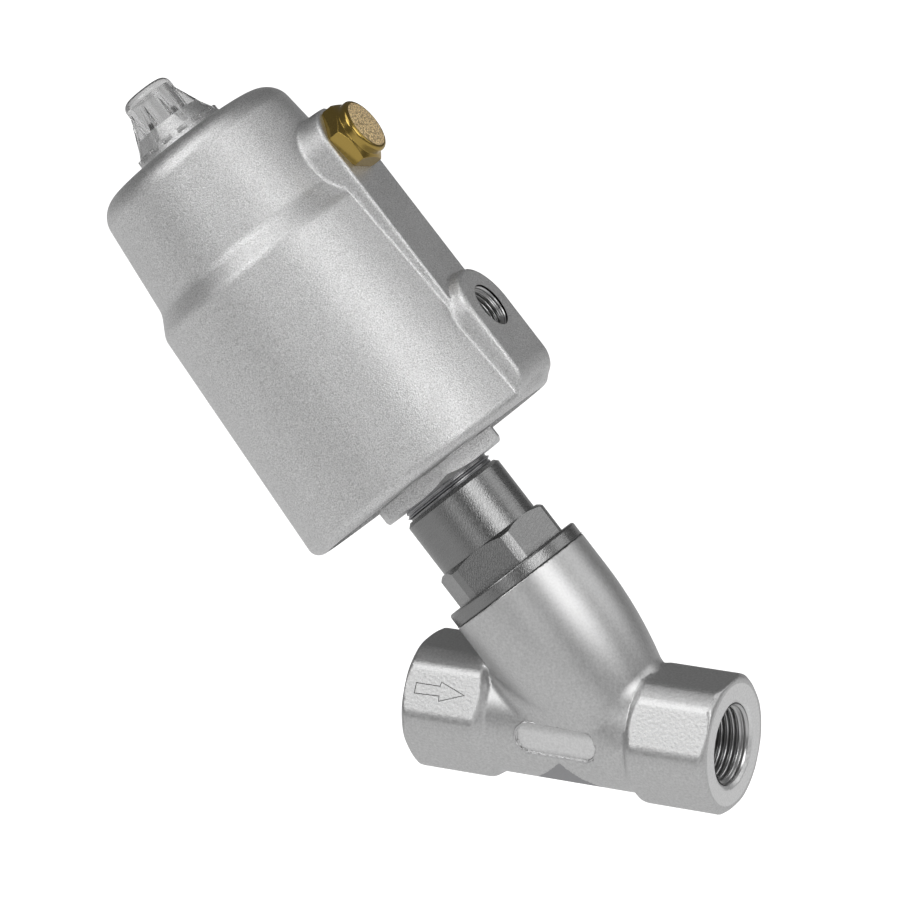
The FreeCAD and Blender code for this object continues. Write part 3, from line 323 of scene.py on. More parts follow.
def rounded_normal(material, radius):
    """A normal that runs smoothly round sharp edges."""
    return add_node(material, "ShaderNodeBevel", [("Radius", radius)], samples=6).outputs[0]


def into_shader(material, **sources):
    """Links outputs to the shader's own sockets."""
    shader = material.node_tree.nodes["Principled BSDF"]
    for label, source in sources.items():
        material.node_tree.links.new(source, shader.inputs[label.replace("_", " ")])


def tinted(colour, factor):
    """A colour made darker or lighter, with its fourth channel."""
    return tuple(channel * factor for channel in colour[:3]) + (1.0,)


def spindle_turn():
    """The rotation that brings the spindle's axis onto the third axis."""
    return Matrix((OUT, SIDE, UP)).to_euler()


def blasted_metal(name, colour, grain):
    """Bead-blasted casting: fine pits and sparkling grains, a slight cloudiness."""
    material = new_material(name, Metallic=0.95, Roughness=0.5)
    spot = place_of(material)
    fine = noise_of(material, spot, 1.9 / grain, 2.0, 0.6)
    coarse = noise_of(material, spot, 0.09 / grain, 3.0)
    grains = spread(material, fine, 0.32, 0.68, 0.0, 1.0)
    into_shader(material, Base_Color=shade(material, grains, tinted(colour, 0.66), tinted(colour, 1.22)))
    into_shader(material, Roughness=spread(material, coarse, 0.3, 0.7, 0.37, 0.44))
    into_shader(material, Normal=bump(material, fine, 0.2 * grain))
    return material


def cast_steel(name, colour, grain):
    """Satin investment casting: smooth round surfaces, orange peel on the hexagon flats, and a painted
    highlight, a lighter colour, wherever the surface lies below the pipe's, as in the oval recess."""
    material = new_material(name, Metallic=1.0, Roughness=0.33)
    spot = place_of(material)
    along = add_node(material, "ShaderNodeSeparateXYZ", [("Vector", spot)]).outputs
    left = spread(material, along["X"], LEFT_FLATS_END[0] * MM, LEFT_FLATS_END[1] * MM, 1.0, 0.0)
    right = spread(material, along["X"], RIGHT_FLATS_START[0] * MM, RIGHT_FLATS_START[1] * MM, 0.0, 1.0)
    flats = combined(material, "ADD", left, right)
    peel = noise_of(material, spot, 0.8 / grain, 2.0, 0.5)
    fine = noise_of(material, spot, 1 / grain, 3.0, 0.6)
    rough = bump(material, combined(material, "MULTIPLY", peel, flats), 0.09 * grain)
    mottle = spread(material, fine, 0.3, 0.7, 0.0, 0.45)
    across = place_of(material, (0, 1, 1))
    away = add_node(material, "ShaderNodeVectorMath", [(0, across)], operation="LENGTH").outputs["Value"]
    # Painted highlight: the surface below the pipe's, as in the oval recess, is coloured lighter.
    painted_recess_highlight = spread(material, away, PAINTED_HIGHLIGHT_DEPTHS[0] * MM, PAINTED_HIGHLIGHT_DEPTHS[1] * MM, 0.55, 0.0)
    light = combined(material, "ADD", mottle, painted_recess_highlight)
    into_shader(material, Base_Color=shade(material, light, tinted(colour, 0.84), tinted(colour, 1.42)))
    into_shader(material, Roughness=spread(material, fine, 0.3, 0.7, 0.39, 0.47))
    into_shader(material, Normal=bump(material, fine, 0.012 * grain, rough))
    return material


def turned_steel(name, colour, grain):
    """Satin turned bar: faint rings about the spindle and fine wavy scratches."""
    material = new_material(name, Metallic=1.0, Roughness=0.3)
    rings = noise_of(material, place_of(material, (220.0, 220.0, 3600.0), spindle_turn()), 1.0, 3.0, 0.6)
    waves = add_node(material, "ShaderNodeTexWave", [
        ("Vector", place_of(material)), ("Scale", 0.35 / grain), ("Distortion", 9.0), ("Detail", 3.0),
        ("Detail Scale", 2.2)]).outputs["Fac"]
    into_shader(material, Base_Color=shade(material, rings, tinted(colour, 0.86), tinted(colour, 1.1)))
    into_shader(material, Roughness=spread(material, waves, 0.0, 1.0, 0.26, 0.34))
    into_shader(material, Normal=bump(material, waves, 0.022 * grain))
    return material


def cut_metal(name, colour, roughness):
    """Plain machined metal with lightly broken edges."""
    material = new_material(name, Metallic=1.0, Roughness=roughness, Base_Color=tinted(colour, 1.0))
    into_shader(material, Normal=rounded_normal(material, 0.2 * MM))
    return material


def sintered_metal(name, colour, grain):
    """Pressed grains, with a painted highlight on their crowns and painted shade between them."""
    material = new_material(name, Metallic=0.3, Roughness=0.3)
    spot = place_of(material)
    cell = add_node(material, "ShaderNodeTexVoronoi", [("Vector", spot), ("Scale", 1 / grain)]).outputs[0]
    # Painted highlight on each grain's crown and painted shade in the gaps between grains; the same pattern gives
    # the bump.
    crown_and_painted_gap_shade = spread(material, cell, 0.15, 0.7, 1.0, 0.0)
    into_shader(material, Base_Color=shade(material, crown_and_painted_gap_shade, tinted(colour, 0.4), tinted(colour, 1.3)))
    into_shader(material, Normal=bump(material, crown_and_painted_gap_shade, 0.2 * grain))
    return material


def plain(name, colour, roughness=0.5, **more):
    """One even colour."""
    return new_material(name, Base_Color=tinted(colour, 1.0), Roughness=roughness, **more)


def looks():
    """The sizes and colours that a user can change."""
    return bpy.context.scene.valve_looks


def material_set():
    """The materials by the record's slots, made once."""
    if "valve_cast_aluminium" not in bpy.data.materials:
        wanted = looks()
        grain = wanted.grain
        blasted_metal("valve_cast_aluminium", wanted.cast_colour, grain)
        cast_steel("valve_body_steel", wanted.steel_colour, grain)
        turned_steel("valve_bonnet_steel", tinted(wanted.steel_colour, 0.42), grain)
        cut_metal("valve_ground_steel", (0.5, 0.5, 0.5), 0.28)
        cut_metal("valve_piston_aluminium", (0.72, 0.73, 0.74), 0.3)
        cut_metal("valve_spring_steel", (0.3, 0.3, 0.31), 0.35)
        cut_metal("valve_bush_bronze", (0.6, 0.4, 0.18), 0.35)
        cut_metal("valve_brass", wanted.brass_colour, 0.2)
        sintered_metal("valve_sintered_brass", (1.0, 0.74, 0.38), 0.4 * MM)
        plain("valve_ptfe", (0.85, 0.85, 0.82), 0.45)
        plain("valve_gasket", (0.09, 0.09, 0.09), 0.6)
        plain("valve_seal_rubber", (0.02, 0.02, 0.02), 0.45)
        plain("valve_indicator_red", (0.6, 0.03, 0.02), 0.3)
        plain("valve_clear_plastic", (0.84, 0.84, 0.84), 0.1, Transmission_Weight=0.93, IOR=1.45)
    slots = [entry["slot"] for entry in frame["record"]["materials"]]
    return {slot: bpy.data.materials["valve_" + slot] for slot in slots}


class ValveLooks(bpy.types.PropertyGroup):
    """Sizes and colours that change the looks of the valve."""
    cast_colour: FloatVectorProperty(
        name="Casting colour", description="Base colour of the blasted cylinder", subtype="COLOR",
        size=3, min=0.0, max=1.0, default=(0.68, 0.68, 0.68))
    steel_colour: FloatVectorProperty(
        name="Steel colour", description="Base colour of the body and the bonnet", subtype="COLOR",
        size=3, min=0.0, max=1.0, default=(0.58, 0.58, 0.58))
    brass_colour: FloatVectorProperty(
        name="Brass colour", description="Base colour of the silencer", subtype="COLOR",
        size=3, min=0.0, max=1.0, default=(0.4, 0.28, 0.075))
    grain: FloatProperty(
        name="Grain", description="Size of the grains that blasting leaves", unit="LENGTH",
        default=0.5 * MM, min=0.05 * MM, max=5 * MM)
    pipe_pitch: FloatProperty(
        name="Pipe thread pitch", description="Distance between the crests of the pipe threads",
        unit="LENGTH", default=1.337 * MM, min=0.5 * MM, max=4 * MM)
    port_pitch: FloatProperty(
        name="Port thread pitch", description="Distance between the crests of the air port's thread",
        unit="LENGTH", default=0.907 * MM, min=0.3 * MM, max=3 * MM)
    floor_drop: FloatProperty(
        name="Floor drop", description="Height of the valve's lowest point over the floor",
        unit="LENGTH", default=120 * MM, min=0.0, max=1.0)
    light_power: FloatProperty(
        name="Light", description="Power of the main soft light", unit="POWER",
        default=4.2, min=0.0, max=500.0)
    grain_count: IntProperty(
        name="Silencer grains", description="Number of grains across the face of the silencer",
        default=420, min=10, max=5000)


class VALVE_OT_dress(bpy.types.Operator):
    """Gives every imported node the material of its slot"""
    bl_idname = "valve.dress"
    bl_label = "Dress the packed nodes"

    def execute(self, context):
        materials = material_set()
        for part in frame["record"]["subparts"]:
            mesh = frame["nodes"][part["node"]].data
            mesh.materials.clear()
            mesh.materials.append(materials[part["material_slot"]])
        return {"FINISHED"}


# The cast cylinder, a hair smaller at its foot than the solid, so that it stays in the solid's box.
BASE, TOP = 66.5, 150.2
BASE_RADIUS, SHOULDER_RADIUS, SHOULDER = 30.48, 27.4, 120.8
UPPER_RADIUS, TOP_RADIUS, SHOULDER_RISE = 24.8, 22.3, 4.6
BASE_EDGE, TOP_EDGE, SHOULDER_ROUND = 2.6, 5.0, 0.4
SPINE_FLAT, SPINE_HALF, SPINE_TOP, SPINE_EDGE = 29.0, 8.4, 138.1, 0.8
BOSS_FLAT, BOSS_HALF, BOSS_TOP, BOSS_EDGE, BOSS_TOE = 32.1, 9.7, 95.0, 1.1, 6.4
CREASE, FAR = 0.6, 50.0
DOME_HOLE, LIP_RADIUS, LIP_HEIGHT, LONGEST_RAY, RIM_CELL = 7.6, 27.2, 12.0, 20.0, 0.5
SKIN_TURNS, RIM_ROWS, CROWN_ROWS, WALL_ROWS, TOP_ROWS = 440, 12, 16, 165, 8
FINE_SIDE = 0.42


def cone(radius, station, low, high):
    """Signed distance to a cone told by two pairs of radius and station."""
    slope = math.atan2(low[0] - high[0], high[1] - low[1])
    at_station = low[0] + (high[0] - low[0]) * (station - low[1]) / (high[1] - low[1])
    return (radius - at_station) * math.cos(slope)


def slab(out, side, station, flat, half, top, edge):
    """A block that stands out of the cylinder to a flat, with an arched upper end."""
    above = np.maximum(station - (top - half), 0)
    plan = np.where(above > 0, np.hypot(side, above), np.abs(side)) - half
    return round_both(out - flat, plan, edge)


def casting(spots):
    """The cylinder's casting as a signed distance: two tapering drums joined by a sloping shoulder,
    a flat spine and a boss on it, with every edge and crease rounded."""
    out, side, station = spots[..., 0], spots[..., 1], spots[..., 2]
    radius = np.hypot(out, side)
    drum = cone(radius, station, (BASE_RADIUS, BASE), (SHOULDER_RADIUS, SHOULDER))
    shoulder = cone(radius, station, (SHOULDER_RADIUS, SHOULDER), (UPPER_RADIUS, SHOULDER + SHOULDER_RISE))
    drum = round_both(drum, shoulder, SHOULDER_ROUND)
    upper = cone(radius, station, (UPPER_RADIUS, SHOULDER + SHOULDER_RISE), (TOP_RADIUS, TOP))
    upper = round_both(upper, station - TOP, TOP_EDGE)
    upper = np.maximum(upper, SHOULDER - SHOULDER_RISE - station)
    shape = round_either(drum, upper, SHOULDER_ROUND)
    spine = slab(out, side, station, SPINE_FLAT, SPINE_HALF, SPINE_TOP, SPINE_EDGE)
    toe = round_both(out - BOSS_FLAT, BASE - station, BOSS_TOE)
    boss = slab(toe, side, station, 0.0, BOSS_HALF, BOSS_TOP, BOSS_EDGE)
    ribs = round_either(spine, boss, CREASE)
    ribs = np.where(out > 0, ribs, FAR)
    shape = round_either(shape, ribs, CREASE)
    return round_both(shape, BASE - station, BASE_EDGE)


def snap_hole(spots, faces, centre, radius):
    """Opens a round hole in the spine's side of a grid: points near its rim go onto it, and faces
    with a point inside go."""
    across = spots[:, :, 1]
    along = spots[:, :, 2] - centre
    away = np.hypot(across, along)
    facing = spots[:, :, 0] > 0
    rim = facing & (np.abs(away - radius) < RIM_CELL)
    scale = np.where(rim, radius / np.maximum(away, 1e-6), 1.0)
    spots[:, :, 1] = np.where(rim, across * scale, across)
    spots[:, :, 2] = np.where(rim, along * scale + centre, spots[:, :, 2])
    inside = (facing & ~rim & (away < radius)).ravel()
    middle = spots.reshape(-1, 3)[faces].mean(axis=1)
    filled = (np.hypot(middle[:, 1], middle[:, 2] - centre) < radius) & (middle[:, 0] > 0)
    return faces[~inside[faces].any(axis=1) & ~filled]


class VALVE_OT_casting(bpy.types.Operator):
    """Replaces the cylinder by one smooth cast skin with rounded creases"""
    bl_idname = "valve.casting"
    bl_label = "Cast cylinder"

    def execute(self, context):
        """Rays leave a path inside the wall, fanned out at its two ends, and the skin is where they
        leave the casting. They stand closer together on the spine's side. Below, the skin turns in
        under the rim and up beside the cover."""
        half = np.linspace(0, 1, SKIN_TURNS // 2, endpoint=False)
        fan = np.pi * (FINE_SIDE * half + (1 - FINE_SIDE) * half ** 2)
        turn = np.unique(np.round(np.concatenate((fan, 2 * np.pi - fan[::-1])) % (2 * np.pi), 9))
        base = np.linspace(-np.pi / 2, 0, RIM_ROWS, endpoint=False)
        top = np.linspace(0, np.pi / 2, CROWN_ROWS)
        wall = np.linspace(BASE + BASE_EDGE, TOP - TOP_EDGE, WALL_ROWS, endpoint=False)
        inner = np.linspace(TOP_RADIUS - TOP_EDGE, DOME_HOLE, TOP_ROWS)[1:]
        angle = np.concatenate((base, np.zeros(len(wall)), top, np.full(len(inner), np.pi / 2)))
        low, high = BASE_RADIUS - BASE_EDGE, TOP_RADIUS - TOP_EDGE
        start_radius = np.concatenate((
            np.full(len(base), low), np.linspace(low, high, len(wall)), np.full(len(top), high), inner))
        start_station = np.concatenate((
            np.full(len(base), BASE + BASE_EDGE), wall, np.full(len(top) + len(inner), TOP - TOP_EDGE)))
        radial = np.stack(np.broadcast_arrays(np.cos(turn)[None, :], np.sin(turn)[None, :], 0.0), axis=-1)
        lift = np.array((0.0, 0.0, 1.0))
        starts = radial * start_radius[:, None, None] + lift * start_station[:, None, None]
        steps = radial * np.cos(angle)[:, None, None] + lift * np.sin(angle)[:, None, None]
        skin = surface_along(casting, starts, steps, LONGEST_RAY)
        lips = np.array(((LIP_RADIUS, BASE), (LIP_RADIUS, BASE + LIP_HEIGHT)))
        lip_rows = radial * lips[:, 0][:, None, None] + lift * lips[:, 1][:, None, None]
        spots = np.concatenate((lip_rows[::-1], skin))
        faces = grid_faces(len(spots), len(turn), wrap_columns=True)
        port = MOUNTS["control_port"]
        station = float((np.array(port["pos_m"]) - CROSSING) @ UP / MM)
        faces = snap_hole(spots, faces, station, port["dims"]["r_mm"])
        slope = slopes(casting, spots)
        slope[:len(lips)] = -radial
        slope = spindle_point(*np.moveaxis(slope, -1, 0)) - CROSSING
        piece = add_piece("cylinder_skin", spindle_point(*np.moveaxis(spots, -1, 0)), faces,
                          VALVE, "cast_aluminium", normals=slope / MM)
        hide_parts("cylinder_housing")
        return {"FINISHED"}


# The pipe part of the body.
PIPE_RADIUS, SOCKET_HALF, SOCKET_CORNER, SOCKET_LENGTH, BODY_LENGTH = 12.85, 13.5, 14.45, 17.0, 69.0
PIPE_INSET, INLET_WALL, OUTLET_WALL, FLAT_TILT = 6.0, 5.0, 1.5, (0.5, 0.866)
NECK_RADIUS, NECK_TOP, NECK_STRAIGHT, NECK_BOW, NECK_LOW = 15.9, 38.0, 30.0, 88.6, 5.0
PORT_RADIUS, PORT_DEPTH, PASSAGE, PORT_BEVEL, BEVEL_SLOPE = 8.33, 12.0, 7.4, 0.9, 1.2
OVAL_MIDDLE, OVAL_HALF, OVAL_RADIUS, OVAL_FLOOR = (35.1, 0.4), 5.95, 3.35, 12.35
NECK_FILLET, SOCKET_FILLET, PIPE_FILLET, EDGE, END_CHAMFER = 2.6, 1.4, 0.6, 0.35, 0.9
RELIEF_TURN, RELIEF_FLOOR = math.radians(38.0), 11.3
RELIEF_CORNERS = ((25.7, -6.3), (43.8, -6.3), (35.3, 3.8))
NET_LOW, NET_HIGH, NET_CELL = (-0.7, -16.4, -14.2), (69.7, 16.4, 41.0), 0.46


def three_sided(across, along, corners):
    """Signed distance to a triangle by its three sides, for corners that run anticlockwise."""
    far = np.full(np.shape(across), -np.inf)
    for (x1, y1), (x2, y2) in zip(corners, corners[1:] + corners[:1]):
        length = math.hypot(x2 - x1, y2 - y1)
        far = np.maximum(far, ((across - x1) * (y2 - y1) - (along - y1) * (x2 - x1)) / length)
    return far


def socket(x, y, z, radius):
    """A hexagonal bar turned down to its corner radius, with a cone back to the pipe."""
    up, over = z * FLAT_TILT[0], y * FLAT_TILT[1]
    flats = np.maximum(np.abs(z), np.maximum(np.abs(up + over), np.abs(up - over))) - SOCKET_HALF
    turned = np.maximum(radius - SOCKET_CORNER, (radius - x - SOCKET_CORNER + END_CHAMFER) / math.sqrt(2))
    bar = round_both(round_both(flats, turned, EDGE), -x, EDGE)
    return round_both(bar, (x + radius - SOCKET_LENGTH - SOCKET_CORNER) / math.sqrt(2), PIPE_FILLET)


def cast_body(spots):
    """The pipe, a socket at each end and the leaning neck, joined with filleted creases; then the
    ports, the passages up to the seat's wall, the oval recess and the low reliefs are taken away."""
    x, y, z = spots[..., 0], spots[..., 1], spots[..., 2]
    radius = np.hypot(y, z)
    local = spots - CROSSING / MM
    station = local @ UP
    away = np.linalg.norm(local - station[..., None] * UP, axis=-1)
    bow = NECK_STRAIGHT - np.clip(station, NECK_LOW, NECK_STRAIGHT)
    neck = away - (NECK_RADIUS - NECK_BOW + np.sqrt(NECK_BOW ** 2 - bow ** 2))
    neck = np.maximum(round_both(neck, station - NECK_TOP, EDGE), -station)
    pipe = np.maximum(radius - PIPE_RADIUS, np.maximum(PIPE_INSET - x, x - BODY_LENGTH + PIPE_INSET))
    shape = round_either(pipe, neck, NECK_FILLET)
    for end in (x, BODY_LENGTH - x):
        bar = socket(end, y, z, radius)
        shape = np.minimum(shape, round_either(bar, neck, SOCKET_FILLET))
        shape = np.minimum(shape, round_either(bar, pipe, PIPE_FILLET))
    oval = np.hypot(np.maximum(np.abs(x - OVAL_MIDDLE[0]) - OVAL_HALF, 0), z - OVAL_MIDDLE[1]) - OVAL_RADIUS
    shape = np.maximum(shape, -np.maximum(oval, y + OVAL_FLOOR))
    for side in (y, -y):
        out = -side * math.cos(RELIEF_TURN) - z * math.sin(RELIEF_TURN)
        along = z * math.cos(RELIEF_TURN) - side * math.sin(RELIEF_TURN)
        shape = np.maximum(shape, -np.maximum(three_sided(x, along, RELIEF_CORNERS), RELIEF_FLOOR - out))
    for end, wall in ((x, INLET_WALL - station), (BODY_LENGTH - x, station - OUTLET_WALL)):
        bevel = radius - PORT_RADIUS - PORT_BEVEL + end * BEVEL_SLOPE
        port = np.minimum(np.maximum(radius - PORT_RADIUS, end - PORT_DEPTH), bevel)
        shape = np.maximum(shape, -np.minimum(port, np.maximum(radius - PASSAGE, wall)))
    return shape


class VALVE_OT_body(bpy.types.Operator):
    """Replaces the pipe part by one smooth cast skin with filleted creases"""
    bl_idname = "valve.body"
    bl_label = "Cast body"

    def execute(self, context):
        spots, faces = net_around(cast_body, NET_LOW, NET_HIGH, NET_CELL)
        piece = add_piece("body_skin", spots * MM, faces, VALVE, "body_steel", normals=slopes(cast_body, spots))
        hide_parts("valve_body")
        return {"FINISHED"}


# Threads.
THREAD_FLAT, THREAD_START, PIPE_MINOR, PORT_MINOR = 0.14, 0.45, 7.475, 4.285
BONNET_ROOT, BONNET_CREST, BONNET_LENGTH, BONNET_PITCH = 9.95, 10.55, 2.3, 1.0


def thread_heights(cycle):
    """A thread's profile over one pitch, from 0 at the root to 1 at the crest, both with a flat."""
    rise = np.abs((cycle % 1.0) - 0.5) * 2
    return np.clip((rise - THREAD_FLAT) / (1 - 2 * THREAD_FLAT), 0, 1)


def thread_surface(root, crest, start, end, pitch, turns=96, steps=11):
    """Radius, turn and depth of a thread between two depths: the radius follows the profile as the
    depth goes on, and the profile moves on by a pitch in one turn, so it winds as a helix."""
    count = max(int((end - start) / pitch * steps), 4)
    depth = np.linspace(start, end, count)[:, None]
    turn = np.linspace(0, 2 * np.pi, turns, endpoint=False)[None, :]
    height = thread_heights(depth / pitch - turn / (2 * np.pi))
    fade = np.clip(np.minimum(depth - start, end - depth) / pitch, 0, 1)
    return root + (crest - root) * height * fade, turn, depth


def port_axes(direction):
    """Two directions square to a port's axis."""
    direction = np.array(direction, float)
    helper = np.array((0.0, 1.0, 0.0))
    first = np.cross(direction, helper)
    first /= np.linalg.norm(first)
    return first, np.cross(direction, first)


class VALVE_OT_threads(bpy.types.Operator):
    """Cuts the pipe threads, the air port's thread and the bonnet's thread as helical surfaces"""
    bl_idname = "valve.threads"
    bl_label = "Threads"

    def execute(self, context):
        pipe_pitch = looks().pipe_pitch / MM
        port_pitch = looks().port_pitch / MM
        ports = (("inlet_port", PIPE_MINOR, pipe_pitch), ("outlet_port", PIPE_MINOR, pipe_pitch),
                 ("control_port", PORT_MINOR, port_pitch))
        for name, minor, pitch in ports:
            mount = MOUNTS[name]
            major, length = mount["dims"]["r_mm"], mount["dims"]["length_mm"]
            radius, turn, depth = thread_surface(major - HAIR, minor, THREAD_START, length, pitch)
            first, second = port_axes(mount["axis"])
            across = radius * np.cos(turn)
            along = radius * np.sin(turn)
            spots = np.array(mount["pos_m"]) + MM * (
                across[..., None] * first + along[..., None] * second
                - np.broadcast_to(depth, radius.shape)[..., None] * np.array(mount["axis"], float))
            faces = grid_faces(*radius.shape, wrap_columns=True)
            add_piece(name + "_thread", spots, faces, VALVE, "ground_steel")
        foot = reach("base_cover", UP)[0]
        radius, turn, depth = thread_surface(
            BONNET_ROOT, BONNET_CREST, foot - BONNET_LENGTH, foot - 2 * HAIR, BONNET_PITCH)
        faces = grid_faces(*radius.shape, wrap_columns=True)
        # The bonnet's thread under the cover takes the darker spring steel: painted shade under the cover.
        add_piece("bonnet_thread", turned_point(radius, turn, depth), faces, VALVE, "spring_steel")
        return {"FINISHED"}


WIRE_RADIUS, COIL_RADIUS, COIL_TURNS, COIL_STEPS, WIRE_SIDES = 1.4, 15.0, 7.5, 900, 14


class VALVE_OT_spring(bpy.types.Operator):
    """Winds the closing spring with closed ends"""
    bl_idname = "valve.spring"
    bl_label = "Closing spring"

    def execute(self, context):
        """The wire's middle winds about the spindle: its station rises slowly over the first and last
        turn, and evenly between. Round the middle stands a circle of the wire's radius, which
        closes to a point at both ends."""
        low, high = reach("main_spring", UP)
        along = np.concatenate(((0,), np.linspace(0, 1, COIL_STEPS - 2), (1,)))
        wire = np.full((COIL_STEPS, 1), WIRE_RADIUS)
        wire[[0, -1]] = 0
        active = np.clip((along * COIL_TURNS - 1) / (COIL_TURNS - 2), 0, 1)
        first_turn = np.clip(along * COIL_TURNS, 0, 1)
        last_turn = 1 - np.clip(COIL_TURNS * (1 - along), 0, 1)
        closed = WIRE_RADIUS * (first_turn + last_turn)
        station = low + WIRE_RADIUS + closed + active * (high - low - 4 * WIRE_RADIUS)
        turn = 2 * np.pi * COIL_TURNS * along[:, None]
        round_wire = np.linspace(2 * np.pi, 0, WIRE_SIDES, endpoint=False)[None, :]
        radius = COIL_RADIUS + wire * np.cos(round_wire)
        spots = turned_point(radius, turn, station[:, None] + wire * np.sin(round_wire))
        piece = add_piece("closing_coil", spots, grid_faces(COIL_STEPS, WIRE_SIDES, wrap_columns=True), VALVE,
                          "spring_steel")
        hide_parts("main_spring")
        anchor = turned_point(0.0, 0.0, high)
        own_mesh(piece)
        return {"FINISHED"}


FACE_ROWS, FACE_COLUMNS, FACE_SINK, FACE_DROP, FACE_RIM = 70, 220, 0.3, 0.22, 1.2
GRAIN_RADIUS, GRAIN_RISE, CAP_RANGE, PINHOLE, SEED = 0.27, 0.05, (-0.15, 0.3), 0.02, 7


class VALVE_OT_silencer(bpy.types.Operator):
    """Gives the silencer's porous face its pressed grains"""
    bl_idname = "valve.silencer"
    bl_label = "Silencer grains"

    def execute(self, context):
        """The face is a shallow dome. At each point it is raised by the tallest of many small round
        grains strewn over it, each a cap that falls with the square of the distance from its middle."""
        top = reach("silencer_disc", OUT)[1]
        low, high = reach("silencer_disc", UP)
        station, radius = (low + high) / 2, (high - low) / 2
        draws = np.random.default_rng(SEED)
        count = looks().grain_count
        grain_turn = draws.uniform(0, 2 * np.pi, count)
        grain_away = radius * np.sqrt(draws.uniform(0, 1, count))
        grain_rise = draws.uniform(-GRAIN_RISE, GRAIN_RISE, count)
        away = np.linspace(PINHOLE, 1, FACE_ROWS)[:, None] * radius
        turn = np.linspace(2 * np.pi, 0, FACE_COLUMNS, endpoint=False)[None, :]
        across = away * np.cos(turn)
        along = away * np.sin(turn)
        gap = (across[..., None] - grain_away * np.cos(grain_turn)) ** 2
        gap += (along[..., None] - grain_away * np.sin(grain_turn)) ** 2
        cap = (grain_rise + GRAIN_RADIUS - gap / (2 * GRAIN_RADIUS)).max(axis=-1)
        height = top - FACE_SINK - FACE_DROP * (away / radius) ** 2 + np.clip(cap, *CAP_RANGE)
        spots = spindle_point(height, across, station + along)
        rim = spindle_point(np.full((1, FACE_COLUMNS), top - FACE_RIM), across[-1:], station + along[-1:])
        add_piece("silencer_grains", np.concatenate((spots, rim)),
                  grid_faces(FACE_ROWS + 1, FACE_COLUMNS, wrap_columns=True), VALVE, "sintered_brass")
        return {"FINISHED"}


RING_STEPS, OUTLINE_STEPS, BURR_SIDES = 160, 180, 8
LINE_RADIUS, LINE_WIDTH, AIR_WAY = 15.7, 0.16, 2.5
BURR_RADIUS, BURR_WOBBLE, BURR_WAVES, RELIEF_MARGIN = 0.28, 0.06, 23, 0.06


def oval_outline(count):
    """Points evenly along a straight-sided oval: across from its middle, and along."""
    straight = 2 * OVAL_HALF
    bend = math.pi * OVAL_RADIUS
    way = np.linspace(0, 2 * (straight + bend), count, endpoint=False)
    half, rest = np.divmod(way, straight + bend)
    turn = np.clip(rest - straight, 0, bend) / OVAL_RADIUS
    across = np.minimum(rest, straight) - OVAL_HALF + OVAL_RADIUS * np.sin(turn)
    along = OVAL_RADIUS * np.cos(turn)
    sign = 1 - 2 * half
    return across * sign, along * sign


class VALVE_OT_joints(bpy.types.Operator):
    """Draws the flange's joint line, the air port's floor, the burr round the oval recess and the
    dark faces laid over the two low reliefs"""
    bl_idname = "valve.joints"
    bl_label = "Joint lines"

    def execute(self, context):
        """A narrow band turned about the spindle, a hair proud of the neck; a disc across the air
        port with the drilled way in the middle left open; a round bead of uneven thickness carried
        along the oval; and a triangle just over each relief's floor."""
        turn = np.linspace(0, 2 * np.pi, RING_STEPS, endpoint=False)[None, :]
        proud = NECK_RADIUS + 2 * HAIR
        high = NECK_TOP + LINE_WIDTH
        band = np.array(((LINE_RADIUS, NECK_TOP), (proud, NECK_TOP), (proud, high), (LINE_RADIUS, high)))
        spots = turned_point(band[:, :1], turn, band[:, 1:])
        add_piece("flange_line", spots, grid_faces(4, RING_STEPS, wrap_rows=True, wrap_columns=True), VALVE,
                  "gasket", smooth=False)
        port = MOUNTS["control_port"]
        first, second = port_axes(port["axis"])
        away = np.array(((port["dims"]["r_mm"],), (AIR_WAY,))) * np.ones_like(turn)
        middle = np.array(port["pos_m"]) - np.array(port["axis"]) * (port["dims"]["length_mm"] * MM)
        across = (away * np.cos(turn))[..., None] * first
        along = (away * np.sin(turn))[..., None] * second
        spots = middle + MM * (across + along)
        add_piece("port_floor", spots, grid_faces(2, RING_STEPS, wrap_columns=True), VALVE, "ground_steel",
                  smooth=False)
        across, along = oval_outline(OUTLINE_STEPS)
        lobe = np.linspace(0, 2 * np.pi, BURR_SIDES, endpoint=False)[:, None]
        way = np.linspace(0, 2 * np.pi, OUTLINE_STEPS, endpoint=False)
        wobble = BURR_RADIUS + BURR_WOBBLE * np.sin(way * BURR_WAVES)
        grow = 1 + wobble * np.cos(lobe) / OVAL_RADIUS
        straight = np.clip(across, -OVAL_HALF, OVAL_HALF)
        x = OVAL_MIDDLE[0] + straight + (across - straight) * grow
        z = OVAL_MIDDLE[1] + along * grow
        y = -np.sqrt(PIPE_RADIUS ** 2 - z ** 2) + wobble * np.sin(lobe)
        add_piece("oval_burr", np.stack((x, y, z), axis=-1) * MM,
                  grid_faces(BURR_SIDES, OUTLINE_STEPS, wrap_rows=True, wrap_columns=True), VALVE, "body_steel")
        # Dark triangles just over the reliefs' floors make the reliefs darker than the body round them.
        corners = np.array(RELIEF_CORNERS)
        corners = corners + (corners.mean(axis=0) - corners) * RELIEF_MARGIN
        down, level = math.sin(RELIEF_TURN), math.cos(RELIEF_TURN)
        for name, side, order in (("relief_face_near", -1, (0, 1, 2)), ("relief_face_far", 1, (0, 2, 1))):
            y = side * (RELIEF_FLOOR * level + corners[:, 1] * down)
            z = -RELIEF_FLOOR * down + corners[:, 1] * level
            spots = np.stack((corners[:, 0], y, z), axis=-1) + np.array((0, side * level, -down)) * (3 * HAIR)
            add_piece(name, spots * MM, np.array((order,)), VALVE, "spring_steel", smooth=False)
        return {"FINISHED"}


LINE_HALF, MITRE_LEAST = 0.09, 0.5
ARROW = ((2.7, 1.35), (8.2, 1.37), (8.4, 2.26), (14.0, 0.29), (8.5, -1.72), (8.4, -0.62), (2.7, -0.82))
FLAT_OUT = np.array((0.0, -math.cos(math.radians(30)), math.sin(math.radians(30))))
FLAT_UP = np.array((0.0, math.sin(math.radians(30)), math.cos(math.radians(30))))


